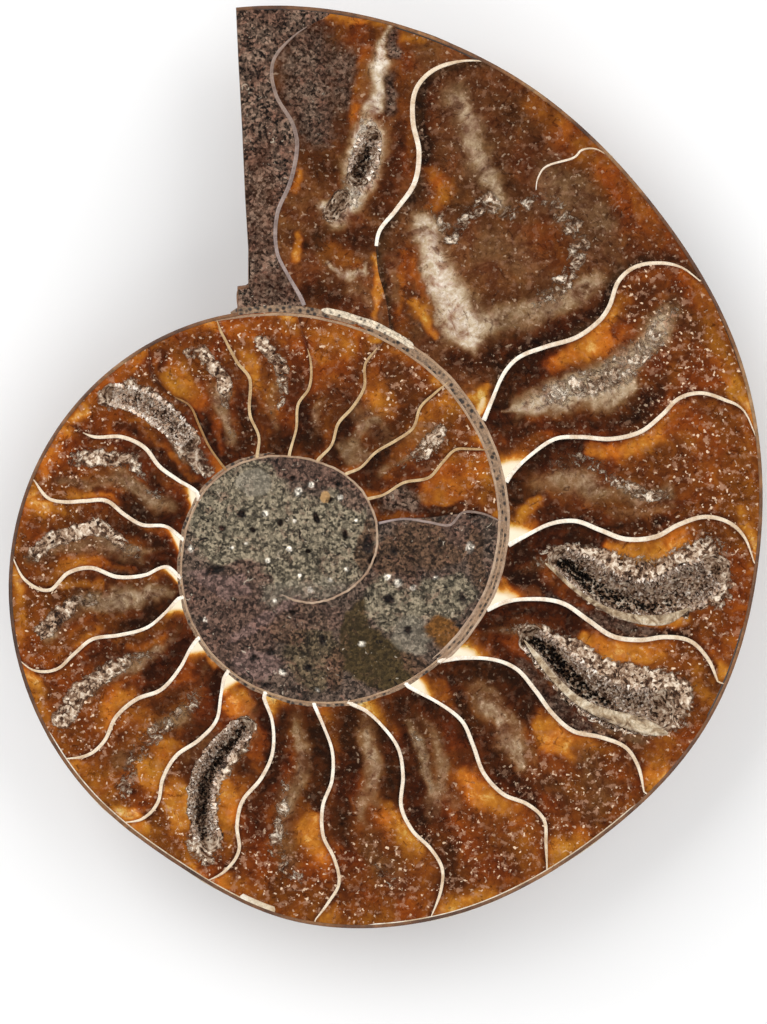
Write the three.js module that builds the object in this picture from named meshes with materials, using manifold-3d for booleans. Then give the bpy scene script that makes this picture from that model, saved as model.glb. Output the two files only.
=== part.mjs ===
// Half of an ammonite, sawn through the middle of its coil and polished.
// It lies on its rounded flank, polished face up. Millimetres, +Z up, origin under the middle of its outline.
import * as THREE from "three";
import Module from "manifold-3d";
import { ParametricGeometry } from "three/addons/geometries/ParametricGeometry.js";
import { mergeVertices } from "three/addons/utils/BufferGeometryUtils.js";

// Driving dimensions of the whole half
const thickness = 15;
const rimThickness = 1.3;
const coilCentre = { x: -11.1, y: -11.4 };

// Radius of the outer wall at each stage of growth: degrees of turn, millimetres from the coil's centre
const wallStages = [
  [-90, 6.0], [-45, 7.3], [0, 9.7], [45, 11.5], [90, 12.6], [135, 14.6], [180, 15.3], [225, 17.0],
  [270, 18.9], [315, 21.8], [360, 26.0], [405, 29.2], [450, 31.6], [495, 34.3], [540, 37.5], [585, 41.0],
  [608, 43.1], [630, 47.6], [652, 50.6], [675, 53.2], [698, 57.2], [720, 59.5], [742, 62.3], [765, 64.5],
  [788, 68.3], [812, 71.2], [835, 71.2],
];
const turn = 360;
const smallestWhorl = 0.3;

// Sawn edge at the last chamber, from the outer wall in to the whorl before, with its small ledge
const sawnEdge = [
  { x: -19.35, y: 59.1 }, { x: -19.1, y: 52.9 }, { x: -18.6, y: 43.8 }, { x: -18.2, y: 34.8 },
  { x: -17.8, y: 28.2 }, { x: -17.8, y: 23.6 }, { x: -19.2, y: 23.4 }, { x: -19.25, y: 20.1 },
];

// Section of one whorl, as fractions of its wall radius: seam and edge of the umbilicus, and the thickest line
const seamAt = 0.2;
const umbilicalEdgeAt = 0.26;
const thickestAt = 0.37;
const shoulderDrop = 0.07;
const seamDepth = 0.35;
const flankPower = 2.3;
const ventralPower = 1.9;
const innerThickness = 3;
const thicknessPerRadius = 0.245;

// Ribs on the flank
const ribsPerTurn = 26;
const ribDepth = 0.35;
const ribSway = 7;
const ribsFullFrom = 0.5;
const ribsFadeFrom = 0.9;

// Number of facets round the half and across its back
const raysRound = 102;
const umbilicusRows = 5;
const umbilicalWallRow = 0.4;
const flankRows = 9;
const stepsPerStation = 4;
const hollowFacets = 12;

// Open hollows in the polished face: places along each, half width and depth
const hollows = [
  {
    name: "crust_first_chamber",
    stations: [
      { x: -1.9, y: 42.6, half: 1.3, deep: 2.2 }, { x: -2.6, y: 40.3, half: 1.7, deep: 2.7 },
      { x: -3.5, y: 37.8, half: 1.4, deep: 2.4 },
    ],
    crystals: 7,
  },
  {
    name: "crust_fifth_chamber",
    stations: [
      { x: 22.8, y: -11.9, half: 1.6, deep: 2.2 }, { x: 25.8, y: -13.8, half: 2.2, deep: 3.2 },
      { x: 30.0, y: -16.6, half: 2.6, deep: 3.8 }, { x: 34.6, y: -17.3, half: 2.7, deep: 3.8 },
      { x: 39.2, y: -15.6, half: 2.9, deep: 3.2 }, { x: 42.2, y: -13.6, half: 2.2, deep: 2.4 },
    ],
    crystals: 13,
  },
  {
    name: "crust_sixth_chamber",
    stations: [
      { x: 19.0, y: -22.3, half: 1.7, deep: 2.4 }, { x: 22.0, y: -25.2, half: 2.2, deep: 3.2 },
      { x: 25.6, y: -28.6, half: 2.6, deep: 3.8 }, { x: 30.2, y: -31.2, half: 2.9, deep: 3.6 },
      { x: 34.8, y: -31.6, half: 2.8, deep: 3.0 },
    ],
    crystals: 14,
  },
  {
    name: "crust_eleventh_chamber",
    stations: [
      { x: -18.4, y: -33.8, half: 1.4, deep: 2.0 }, { x: -21.0, y: -36.2, half: 1.5, deep: 2.4 },
      { x: -23.4, y: -39.8, half: 1.6, deep: 2.6 }, { x: -23.9, y: -44.0, half: 1.7, deep: 2.6 },
      { x: -23.0, y: -48.2, half: 1.6, deep: 2.2 },
    ],
    crystals: 9,
  },
  {
    name: "crust_seventeenth_chamber",
    stations: [
      { x: -35.4, y: 9.4, half: 1.3, deep: 1.8 }, { x: -32.2, y: 8.6, half: 1.5, deep: 2.2 },
      { x: -28.8, y: 6.6, half: 1.6, deep: 2.4 }, { x: -25.6, y: 3.4, half: 1.5, deep: 2.2 },
    ],
    crystals: 9,
  },
];
const smallHollow = {
  stations: [{ x: -6.9, y: 33.0, half: 1.0, deep: 1.6 }, { x: -5.7, y: 34.8, half: 1.1, deep: 1.6 }],
};
const hollowWobble = 0.12;
const hollowWaves = 7;
const hollowEndPower = 6;

// Crystal crust in a hollow: its gap to the stone, its thickness, and how far it stays below the face
const crustGap = 0.3;
const crustThickness = 0.6;
const crustBelowFace = 0.2;

// Crystals on a crust: shape and sizes, how deep they are rooted, and where they stand
const crystalSides = 6;
const crystalRadius = 0.4;
const crystalLength = 1.1;
const crystalProfile = [[0, -0.3], [1, -0.1], [1, 0.45], [0, 0.8]];
const crystalSizes = { smallest: 0.75, spread: 0.5, step: 0.382 };
const crystalRoot = 0.6;
const crystalEndGap = 0.08;
const crystalArc = { start: 1.15, span: 0.7, step: 0.618 };
const crystalLean = { reach: 0.7, step: 2.4 };

// Corners closer than this are one corner, and loose crumbs smaller than this are dropped, in cubic millimetres
const sameCorner = 1e-4;
const smallestBody = 1;

const wasm = await Module();
wasm.setup();

const toRadians = THREE.MathUtils.degToRad;

// Smooth curve through the wall stages, by cubic interpolation between neighbours
function wallRadius(degrees) {
  const first = wallStages[0];
  if (degrees <= first[0]) {
    return first[1] * Math.max(smallestWhorl, 1 + (degrees - first[0]) / turn);
  }
  let i = 0;
  while (i < wallStages.length - 2 && wallStages[i + 1][0] < degrees) {
    i += 1;
  }
  const before = wallStages[Math.max(i - 1, 0)];
  const left = wallStages[i];
  const right = wallStages[i + 1];
  const after = wallStages[Math.min(i + 2, wallStages.length - 1)];
  const step = right[0] - left[0];
  const s = Math.min((degrees - left[0]) / step, 1);
  const leftSlope = (right[1] - before[1]) / (right[0] - before[0]) * step;
  const rightSlope = (after[1] - left[1]) / (after[0] - left[0]) * step;
  const rise = right[1] - left[1];
  return left[1] + s * leftSlope + s * s * (3 * rise - 2 * leftSlope - rightSlope)
    + s * s * s * (leftSlope + rightSlope - 2 * rise);
}

// Depth of one whorl's flank under the polished face, as a fraction of its half thickness
function sectionFraction(across) {
  if (across < umbilicalEdgeAt) {
    const up = (across - seamAt) / (umbilicalEdgeAt - seamAt);
    const edge = 1 - shoulderDrop;
    return seamDepth + (edge - seamDepth) * Math.sin(up * Math.PI / 2);
  }
  if (across < thickestAt) {
    const back = (thickestAt - across) / (thickestAt - umbilicalEdgeAt);
    return 1 - shoulderDrop * back * back;
  }
  const out = Math.min((across - thickestAt) / (1 - thickestAt), 1);
  return Math.pow(1 - Math.pow(out, flankPower), 1 / ventralPower);
}

// Depth of a groove between ribs, which fades at the umbilicus and at the outer wall
function grooveDepth(across, growth) {
  const inner = THREE.MathUtils.smoothstep(across, umbilicalEdgeAt, ribsFullFrom);
  const outer = 1 - THREE.MathUtils.smoothstep(across, ribsFadeFrom, 1);
  const sway = ribSway * Math.sin(2 * Math.PI * (across - seamAt) / (1 - seamAt));
  const wave = 0.5 - 0.5 * Math.cos(toRadians((growth + sway) * ribsPerTurn));
  return ribDepth * inner * outer * wave;
}

// Depth of the back under the face: the deepest of the whorls that reach this place
function backDepth(radius, growth) {
  let depth = rimThickness;
  for (let stage = growth; stage > wallStages[0][0] - turn; stage -= turn) {
    const wall = wallRadius(stage);
    const across = radius / wall;
    if (across >= seamAt && across <= 1 + sameCorner) {
      const half = Math.min(thickness, innerThickness + thicknessPerRadius * wall);
      const reach = rimThickness + (half - rimThickness) * sectionFraction(across);
      depth = Math.max(depth, reach - grooveDepth(across, stage));
    }
    if (across < seamAt) {
      depth = Math.max(depth, innerThickness);
    }
  }
  return depth;
}

// Rays from the coil's centre to the outline, one whole turn back from the sawn edge
function outlineRays() {
  const edge = sawnEdge.map(({ x, y }) => ({
    degrees: THREE.MathUtils.radToDeg(Math.atan2(y - coilCentre.y, x - coilCentre.x)),
    radius: Math.hypot(x - coilCentre.x, y - coilCentre.y),
  }));
  const firstGrowth = turn + edge.at(-1).degrees;
  const lastGrowth = 2 * turn + edge[0].degrees;
  const rays = [];
  for (let i = 0; i < raysRound; i += 1) {
    const growth = THREE.MathUtils.lerp(firstGrowth, lastGrowth, i / (raysRound - 1));
    rays.push({ growth, radius: wallRadius(growth) });
  }
  for (const { degrees, radius } of edge.slice(1, -1)) {
    rays.push({ growth: 2 * turn + degrees, radius });
  }
  rays.push({ growth: 2 * turn + edge.at(-1).degrees, radius: rays[0].radius });
  return rays;
}

// Fractions of a ray at which the back is sampled, closest at the umbilicus and at the outer wall
function backRows() {
  const rows = [];
  for (let i = 0; i < umbilicusRows; i += 1) {
    rows.push(seamAt * i / umbilicusRows);
  }
  rows.push(seamAt, THREE.MathUtils.lerp(seamAt, umbilicalEdgeAt, umbilicalWallRow));
  for (let i = 0; i <= flankRows; i += 1) {
    rows.push(umbilicalEdgeAt + (1 - umbilicalEdgeAt) * Math.sin(i / flankRows * Math.PI / 2));
  }
  return rows;
}

// Solid from a closed three.js geometry, moved by a matrix, with its faces turned outwards
function solidFrom(geometry, matrix = new THREE.Matrix4()) {
  const plain = geometry.index ? geometry.toNonIndexed() : geometry.clone();
  plain.deleteAttribute("normal");
  plain.deleteAttribute("uv");
  plain.applyMatrix4(matrix);
  const merged = mergeVertices(plain, sameCorner);
  const index = merged.index.array;
  const corners = [];
  for (let i = 0; i < index.length; i += 3) {
    const [a, b, c] = [index[i], index[i + 1], index[i + 2]];
    if (a !== b && b !== c && c !== a) {
      corners.push(a, b, c);
    }
  }
  const vertProperties = merged.attributes.position.array;
  const build = () => new wasm.Manifold(new wasm.Mesh({
    numProp: 3, vertProperties, triVerts: new Uint32Array(corners),
  }));
  const solid = build();
  if (solid.volume() > 0) {
    return solid;
  }
  corners.reverse();
  return build();
}

// The whole half before its hollows are opened: back, rim and flat polished face
function makeHalf() {
  const rays = outlineRays();
  const rows = backRows();
  const lastRow = rows.length + 1;
  const place = (u, v, target) => {
    const ray = rays[Math.round(u * rays.length) % rays.length];
    const row = Math.round(v * lastRow);
    const fraction = row < rows.length ? rows[row] : Number(row === rows.length);
    const radius = ray.radius * fraction;
    const depth = row < rows.length ? backDepth(radius, radius === 0 ? rays[0].growth : ray.growth) : 0;
    const angle = toRadians(ray.growth);
    target.set(
      coilCentre.x + radius * Math.cos(angle),
      coilCentre.y + radius * Math.sin(angle),
      thickness - depth,
    );
  };
  return solidFrom(new ParametricGeometry(place, rays.length, lastRow));
}

// Middle line of a hollow, on the polished face
function hollowPath({ stations }) {
  return new THREE.CatmullRomCurve3(stations.map(({ x, y }) => new THREE.Vector3(x, y, thickness)));
}

// Middle, sideways direction, half width and depth of a hollow at a place along it, from 0 to 1
function hollowAt({ stations }, path, along, inset) {
  const last = stations.length - 1;
  const i = Math.min(Math.floor(along * last), last - 1);
  const s = along * last - i;
  const half = THREE.MathUtils.lerp(stations[i].half, stations[i + 1].half, s);
  const deep = THREE.MathUtils.lerp(stations[i].deep, stations[i + 1].deep, s);
  const wobble = 1 + hollowWobble * Math.sin(along * hollowWaves * Math.PI);
  const taper = Math.sqrt(1 - Math.pow(Math.abs(2 * along - 1), hollowEndPower));
  const tangent = path.getTangent(along);
  return {
    middle: path.getPoint(along),
    side: new THREE.Vector3(-tangent.y, tangent.x, 0),
    half: (half * wobble - inset) * taper,
    deep: (deep * wobble - inset) * taper,
  };
}

// Body of a hollow drawn in by an inset: a bent tube of oval section, pointed at both ends
function hollowBody(hollow, inset) {
  const path = hollowPath(hollow);
  const shorter = inset / path.getLength();
  const place = (u, v, target) => {
    const spot = hollowAt(hollow, path, THREE.MathUtils.lerp(shorter, 1 - shorter, u), inset);
    const pointed = u === 0 || u === 1 ? 0 : 1;
    const round = v === 1 ? 0 : 2 * Math.PI * v;
    target.copy(spot.middle);
    target.addScaledVector(spot.side, pointed * spot.half * Math.cos(round));
    target.z += pointed * spot.deep * Math.sin(round);
  };
  const steps = stepsPerStation * (hollow.stations.length - 1);
  return solidFrom(new ParametricGeometry(place, steps, hollowFacets));
}

// One crystal: a six-sided double point that leans from the crust towards the middle of the hollow
function crystal(base, direction, size) {
  const turned = new THREE.Quaternion().setFromUnitVectors(new THREE.Vector3(0, 1, 0), direction);
  const grown = new THREE.Vector3(crystalRadius * size, crystalLength * size, crystalRadius * size);
  const matrix = new THREE.Matrix4().compose(base, turned, grown);
  const profile = crystalProfile.map(([radius, height]) => new THREE.Vector2(radius, height));
  return solidFrom(new THREE.LatheGeometry(profile, crystalSides), matrix);
}

// Crystal crust that lines a hollow, with flat-faced crystals on it and its top trimmed below the face
function makeCrust(hollow) {
  const outer = hollowBody(hollow, crustGap);
  let crust = outer.subtract(hollowBody(hollow, crustGap + crustThickness));
  const path = hollowPath(hollow);
  for (let i = 0; i < hollow.crystals; i += 1) {
    const along = THREE.MathUtils.lerp(crystalEndGap, 1 - crystalEndGap, (i + 0.5) / hollow.crystals);
    const spot = hollowAt(hollow, path, along, crustGap + crustThickness * crystalRoot);
    const round = Math.PI * (crystalArc.start + crystalArc.span * ((i * crystalArc.step) % 1));
    const base = spot.middle.clone().addScaledVector(spot.side, spot.half * Math.cos(round));
    base.z += spot.deep * Math.sin(round);
    const lean = crystalLean.reach * Math.sin(crystalLean.step * i);
    const inward = spot.middle.clone().sub(base).normalize();
    inward.addScaledVector(path.getTangent(along), lean).normalize();
    const size = crystalSizes.smallest + crystalSizes.spread * ((i * crystalSizes.step) % 1);
    crust = crust.add(crystal(base, inward, size));
  }
  const widest = 3 * wallStages.at(-1)[1];
  const below = new THREE.Matrix4().makeTranslation(0, 0, thickness / 2 - crustBelowFace);
  const keep = solidFrom(new THREE.BoxGeometry(widest, widest, thickness), below);
  return crust.intersect(outer).intersect(keep);
}

// Named mesh from the largest body of a solid, with its own plain material
function meshFrom(solid, name, color, roughness) {
  const bodies = solid.decompose().filter((body) => body.volume() > smallestBody);
  bodies.sort((a, b) => b.volume() - a.volume());
  const { numProp, vertProperties, triVerts } = bodies[0].getMesh();
  const positions = new Float32Array(triVerts.length * 3);
  triVerts.forEach((vertex, i) => {
    for (let axis = 0; axis < 3; axis += 1) {
      positions[3 * i + axis] = vertProperties[vertex * numProp + axis];
    }
  });
  const geometry = new THREE.BufferGeometry();
  geometry.setAttribute("position", new THREE.BufferAttribute(positions, 3));
  geometry.computeVertexNormals();
  const mesh = new THREE.Mesh(geometry, new THREE.MeshStandardMaterial({ color, roughness, metalness: 0 }));
  mesh.name = name;
  return mesh;
}

const fossil = new THREE.Group();

let half = makeHalf();
for (const hollow of [...hollows, smallHollow]) {
  half = half.subtract(hollowBody(hollow, 0));
}
fossil.add(meshFrom(half, "ammonite_half", 0x7a3f14, 0.25));

for (const hollow of hollows) {
  fossil.add(meshFrom(makeCrust(hollow), hollow.name, 0xb8a596, 0.6));
}

export default fossil;
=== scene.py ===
import math
import random

import bmesh
import bpy
from mathutils import Matrix, Vector, noise


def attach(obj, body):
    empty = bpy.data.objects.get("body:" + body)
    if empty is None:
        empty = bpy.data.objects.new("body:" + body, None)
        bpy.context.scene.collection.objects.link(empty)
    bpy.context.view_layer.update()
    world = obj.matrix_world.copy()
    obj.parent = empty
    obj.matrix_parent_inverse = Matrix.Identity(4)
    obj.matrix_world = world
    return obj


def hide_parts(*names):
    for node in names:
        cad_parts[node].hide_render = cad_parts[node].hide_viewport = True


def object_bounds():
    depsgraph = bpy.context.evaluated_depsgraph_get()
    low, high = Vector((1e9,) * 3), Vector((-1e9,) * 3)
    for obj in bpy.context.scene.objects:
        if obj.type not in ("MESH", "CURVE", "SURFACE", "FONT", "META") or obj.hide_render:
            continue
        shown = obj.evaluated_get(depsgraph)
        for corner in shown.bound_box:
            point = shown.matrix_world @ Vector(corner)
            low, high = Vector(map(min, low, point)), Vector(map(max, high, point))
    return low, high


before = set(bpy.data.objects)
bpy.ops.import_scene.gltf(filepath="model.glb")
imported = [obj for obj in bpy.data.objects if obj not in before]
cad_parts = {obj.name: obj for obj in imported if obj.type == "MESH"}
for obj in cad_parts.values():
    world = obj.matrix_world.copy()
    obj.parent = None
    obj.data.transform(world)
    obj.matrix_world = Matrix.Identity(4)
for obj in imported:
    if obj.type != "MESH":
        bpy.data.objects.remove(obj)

cad_box = [list(corner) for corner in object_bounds()]

# Camera. The photograph looks square at the polished face, and the half lies on its rounded back,
# so the camera looks straight down. The photograph's scale sets how far up it stands.
mm = 0.001
photo_pixel = 0.12945 * mm
photo_middle = (386.5, 468.5)
photo_shift = (0.1 * mm, -0.2 * mm)
photo_size = (767, 1024)
face_height = cad_box[1][2]


def from_photo(px, py):
    """Place on the polished face, in metres, of a place read off the photograph in pixels."""
    x = (px - photo_middle[0]) * photo_pixel + photo_shift[0]
    y = (photo_middle[1] - py) * photo_pixel + photo_shift[1]
    return x, y


camera_data = bpy.data.cameras.new("camera")
camera_data.lens = 100
camera_data.sensor_width = 36
camera = bpy.data.objects.new("camera", camera_data)
bpy.context.scene.collection.objects.link(camera)
aim_x, aim_y = from_photo(photo_size[0] / 2, photo_size[1] / 2)
camera_up = photo_size[1] * photo_pixel * camera_data.lens / camera_data.sensor_width
camera.location = (aim_x, aim_y, face_height + camera_up)
bpy.context.scene.camera = camera

# Shell body. The natural back of the half: one coil of brown shell, thickest round the umbilicus and thin
# at the outer wall, with low ribs. It is a dish of stone that holds the fillings, laid on a grid of rays,
# and it is sawn off straight at the last chamber.
coil_x, coil_y = -11.1 * mm, -11.4 * mm
# The outer wall: stage of growth in degrees, and radius in millimetres
wall_stages = [
    (-90, 6.0), (-45, 7.3), (0, 9.7), (45, 11.5), (90, 12.6), (135, 14.6), (180, 15.3), (225, 17.0),
    (270, 18.9), (315, 21.8), (360, 26.0), (405, 29.2), (450, 31.6), (495, 34.3), (540, 37.5), (585, 41.0),
    (608, 43.1), (630, 47.6), (652, 50.6), (675, 53.2), (698, 57.2), (720, 59.5), (742, 62.3), (765, 64.5),
    (788, 68.3), (812, 71.2), (835, 71.2),
]
# The sawn edge seen from above, in millimetres, from the outer wall to the inner whorls
sawn_edge = [
    (-19.35, 59.1), (-19.1, 52.9), (-18.6, 43.8), (-18.2, 34.8), (-17.8, 28.2), (-17.8, 23.6),
    (-19.2, 23.4), (-19.25, 20.1),
]
shell_rim = 1.3 * mm
rim_width = 0.45 * mm
# Places across a whorl's flank, as shares of the outer radius, and the shape of the flank between them
seam_at, umbilical_edge_at, thickest_at = 0.2, 0.26, 0.37
shoulder_drop, seam_depth = 0.07, 0.35
flank_power, ventral_power = 2.3, 1.9
inner_thickness, thickness_per_radius = 3 * mm, 0.245
rib_depth, rib_sway, ribs_per_turn = 0.35 * mm, 7, 52
ribs_full_from, ribs_fade_from, rib_sharpness = 0.5, 0.92, 1.5
smallest_whorl = 0.3
dish_depth, dish_wall = 5.4 * mm, 1.6 * mm
thinnest_dish = 0.9 * mm
body_rays = 600
umbilicus_rows, umbilical_wall_rows, flank_rows, dish_rows = 16, 5, 44, 6
outline_trim = 0.03 * mm
upright_normal = 0.2
sawn_left_of, sawn_above = -17.6 * mm, 19 * mm


def smooth_through(stations, place, least_step=1e-4):
    """Value at a place, on a smooth curve through stations of place and value."""
    i = 0
    while i < len(stations) - 2 and stations[i + 1][0] < place:
        i += 1
    before, left = stations[max(i - 1, 0)], stations[i]
    right, after = stations[i + 1], stations[min(i + 2, len(stations) - 1)]
    step = max(right[0] - left[0], least_step)
    s = min(max((place - left[0]) / step, 0), 1)
    left_slope = (right[1] - before[1]) / max(right[0] - before[0], least_step) * step
    right_slope = (after[1] - left[1]) / max(after[0] - left[0], least_step) * step
    rise = right[1] - left[1]
    curve = left[1] + s * left_slope + s * s * (3 * rise - 2 * left_slope - right_slope)
    return curve + s ** 3 * (left_slope + right_slope - 2 * rise)


def wall_radius(degrees):
    """Radius of the outer wall at a stage of growth."""
    first_turn, first_radius = wall_stages[0]
    if degrees <= first_turn:
        return first_radius * mm * max(smallest_whorl, 1 + (degrees - first_turn) / 360)
    return mm * smooth_through(wall_stages, degrees)


def on_coil(growth, radius, z=face_height):
    """Place at a stage of growth and a distance from the middle of the coil."""
    turn = math.radians(growth)
    return Vector((coil_x + radius * math.cos(turn), coil_y + radius * math.sin(turn), z))


def smooth(low, high, value):
    """0 below low, 1 above high, and a smooth rise between them."""
    s = min(max((value - low) / (high - low), 0), 1)
    return s * s * (3 - 2 * s)


def section_fraction(across):
    """Depth of one whorl's flank under the face, as a fraction of its half thickness."""
    if across < umbilical_edge_at:
        up = (across - seam_at) / (umbilical_edge_at - seam_at)
        return seam_depth + (1 - shoulder_drop - seam_depth) * math.sin(up * math.pi / 2)
    if across < thickest_at:
        back = (thickest_at - across) / (thickest_at - umbilical_edge_at)
        return 1 - shoulder_drop * back * back
    out = min((across - thickest_at) / (1 - thickest_at), 1)
    return (1 - out ** flank_power) ** (1 / ventral_power)


def groove_depth(across, growth):
    """Depth of the groove between two ribs, fading at the umbilicus and the outer wall."""
    fade = smooth(umbilical_edge_at, ribs_full_from, across) * (1 - smooth(ribs_fade_from, 1, across))
    sway = rib_sway * math.sin(2 * math.pi * (across - seam_at) / (1 - seam_at))
    wave = 0.5 - 0.5 * math.cos(math.radians((growth + sway) * ribs_per_turn))
    return rib_depth * fade * wave ** rib_sharpness


def back_depth(radius, growth):
    """Depth of the back under the face: the deepest of the whorls that reach this place."""
    depth = shell_rim
    stage = growth
    while stage > wall_stages[0][0] - 360:
        wall = wall_radius(stage)
        across = radius / wall
        if seam_at <= across <= 1.0001:
            half = min(face_height, inner_thickness + thickness_per_radius * wall)
            reach = shell_rim + (half - shell_rim) * section_fraction(across)
            depth = max(depth, reach - groove_depth(across, stage))
        if across < seam_at:
            depth = max(depth, inner_thickness)
        stage -= 360
    return depth


def rays_of(edge, count, last_turn):
    """Rays from the coil's middle to an outline that goes once round, closed along a given edge."""
    from_middle = [(x - coil_x, y - coil_y) for x, y in edge]
    polar = [(math.degrees(math.atan2(y, x)), math.hypot(x, y)) for x, y in from_middle]
    first = last_turn - 360 + polar[-1][0]
    last = last_turn + polar[0][0]
    rays = []
    for i in range(count):
        growth = first + (last - first) * i / (count - 1)
        rays.append((growth, wall_radius(growth) - outline_trim))
    rays += [(last_turn + degrees, radius) for degrees, radius in polar[1:-1]]
    rays.append((last_turn + polar[-1][0], rays[0][1]))
    return rays


def laid_grid(columns, rows, place, wrap=False):
    """Sheet of columns by rows, each corner moved to where place(column, row) says."""
    mesh = bmesh.new()
    along = mesh.verts.layers.float.new("along")
    across = mesh.verts.layers.float.new("across")
    bmesh.ops.create_grid(mesh, x_segments=columns, y_segments=rows, size=1)
    for vert in mesh.verts:
        column = round((vert.co.x + 1) / 2 * columns)
        row = round((vert.co.y + 1) / 2 * rows)
        vert[along] = column / columns
        vert[across] = row / rows
        vert.co = place(column % columns if wrap else column, row)
    if wrap:
        bmesh.ops.remove_doubles(mesh, verts=mesh.verts, dist=1e-7)
        bmesh.ops.recalc_face_normals(mesh, faces=mesh.faces)
    return mesh


def piece_from(name, mesh, material, smooth_shading=True):
    """Object with this mesh and material that is part of the fossil."""
    data = bpy.data.meshes.new(name)
    mesh.to_mesh(data)
    mesh.free()
    data.materials.append(material)
    for polygon in data.polygons:
        polygon.use_smooth = smooth_shading
    made = bpy.data.objects.new(name, data)
    bpy.context.scene.collection.objects.link(made)
    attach(made, "root")
    return made


def new_material(name):
    """Material with its node list, its links and its own shader."""
    made = bpy.data.materials.new(name)
    made.use_nodes = True
    return made, made.node_tree, made.node_tree.nodes["Principled BSDF"]


def add_node(tree, kind, values=None, **settings):
    """Shader node with its settings and its unlinked inputs."""
    made = tree.nodes.new("ShaderNode" + kind)
    for key, value in settings.items():
        setattr(made, key, value)
    for key, value in (values or {}).items():
        made.inputs[key].default_value = value
    return made


def ramp(tree, source, stops):
    """Colour ramp from a value, with stops of place and colour."""
    made = add_node(tree, "ValToRGB")
    tree.links.new(source, made.inputs["Fac"])
    elements = made.color_ramp.elements
    while len(elements) < len(stops):
        elements.new(0.5)
    for element, (place, colour) in zip(elements, stops):
        element.position = place
        element.color = colour if len(colour) == 4 else (*colour, 1)
    return made.outputs["Color"]


def grey(value):
    """Grey colour of one brightness."""
    return (value, value, value)


def mixed(tree, factor, first, second, blend="MIX"):
    """Two colours mixed; each may be a socket or a plain colour, and the factor a socket or a number."""
    made = add_node(tree, "Mix", data_type="RGBA", blend_type=blend)
    for socket, value in ((made.inputs[0], factor), (made.inputs[6], first), (made.inputs[7], second)):
        if isinstance(value, bpy.types.NodeSocket):
            tree.links.new(value, socket)
        else:
            socket.default_value = value if isinstance(value, (int, float)) else (*value, 1)
    return made.outputs[2]


def worked(tree, operation, *values, clamp=False):
    """Math node on sockets or plain numbers."""
    made = add_node(tree, "Math", operation=operation, use_clamp=clamp)
    for socket, value in zip(made.inputs, values):
        if isinstance(value, bpy.types.NodeSocket):
            tree.links.new(value, socket)
        else:
            socket.default_value = value
    return made.outputs[0]


def noise_of(tree, size, detail=4, roughness=0.6, warp=0):
    """Noise on the piece's own coordinates, with blotches of a real size in metres."""
    values = {"Scale": 1 / size, "Detail": detail, "Roughness": roughness, "Distortion": warp}
    made = add_node(tree, "TexNoise", values)
    tree.links.new(add_node(tree, "TexCoord").outputs["Object"], made.inputs["Vector"])
    return made.outputs["Fac"]


def cells_of(tree, size, output="Distance"):
    """Voronoi cells of a real size in metres on the piece's own coordinates."""
    made = add_node(tree, "TexVoronoi", {"Scale": 1 / size})
    tree.links.new(add_node(tree, "TexCoord").outputs["Object"], made.inputs["Vector"])
    return made.outputs[output]


def bump(tree, shader, height, distance, strength=1.0):
    """Relief of a real depth in metres on the shader's normal."""
    made = add_node(tree, "Bump", {"Strength": strength, "Distance": distance})
    tree.links.new(height, made.inputs["Height"])
    tree.links.new(made.outputs["Normal"], shader.inputs["Normal"])


def shell_material():
    """Brown nacreous shell of the back, with worn and stained patches."""
    made, tree, shader = new_material("brown_shell")
    large = ramp(tree, noise_of(tree, 14 * mm, 5, 0.62, 0.6), [
        (0.32, (0.035, 0.012, 0.005)), (0.45, (0.12, 0.043, 0.013)), (0.58, (0.24, 0.1, 0.03)),
        (0.72, (0.4, 0.24, 0.11))])
    fine = ramp(tree, noise_of(tree, 1.1 * mm, 6, 0.7), [(0.36, grey(0.45)), (0.62, grey(1.25))])
    colour = mixed(tree, 0.8, large, fine, "MULTIPLY")
    specks = ramp(tree, noise_of(tree, 0.5 * mm, 3, 0.7), [(0.68, grey(0)), (0.74, grey(1))])
    colour = mixed(tree, specks, colour, (0.5, 0.4, 0.28))
    tree.links.new(colour, shader.inputs["Base Color"])
    tree.links.new(ramp(tree, noise_of(tree, 2.5 * mm), [(0.35, grey(0.32)), (0.65, grey(0.6))]),
                   shader.inputs["Roughness"])
    bump(tree, shader, noise_of(tree, 0.9 * mm, 8, 0.7), 0.25 * mm, 0.7)
    return made


def stone_grain(tree, base, contrast=1.0):
    """Colour of sawn siltstone over a base colour: coarse and fine grains, pits painted near black as painted
    shade, pale and rusty bits.
    """
    cell = add_node(tree, "SeparateColor")
    tree.links.new(cells_of(tree, 0.32 * mm, "Color"), cell.inputs[0])
    value = worked(tree, "ADD", worked(tree, "MULTIPLY", cell.outputs[0], 0.2),
                   worked(tree, "MULTIPLY", noise_of(tree, 0.9 * mm, 9, 0.85, 0.5), 0.8))
    grain = ramp(tree, value, [(0.4, grey(0.05)), (0.45, grey(0.35)), (0.5, grey(0.85)), (0.55, grey(1.3)),
                               (0.61, grey(2.5))])
    colour = mixed(tree, contrast, base, grain, "MULTIPLY")
    rust = ramp(tree, noise_of(tree, 2.2 * mm, 6, 0.8, 0.8), [(0.53, grey(0)), (0.6, grey(0.55))])
    rusty_grain = mixed(tree, 1.0, grain, (0.1, 0.045, 0.03), "MULTIPLY")
    colour = mixed(tree, worked(tree, "MULTIPLY", rust, contrast), colour, rusty_grain)
    # Painted shade: dark pits, coloured near black.
    pits = ramp(tree, noise_of(tree, 1.8 * mm, 5, 0.65, 1.2), [(0.34, grey(1)), (0.39, grey(0))])
    colour = mixed(tree, pits, colour, (0.008, 0.005, 0.004))
    pale = ramp(tree, noise_of(tree, 1.1 * mm, 3, 0.6, 1.6), [(0.67, grey(0)), (0.72, grey(0.9))])
    return mixed(tree, pale, colour, (0.46, 0.38, 0.29))


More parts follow.
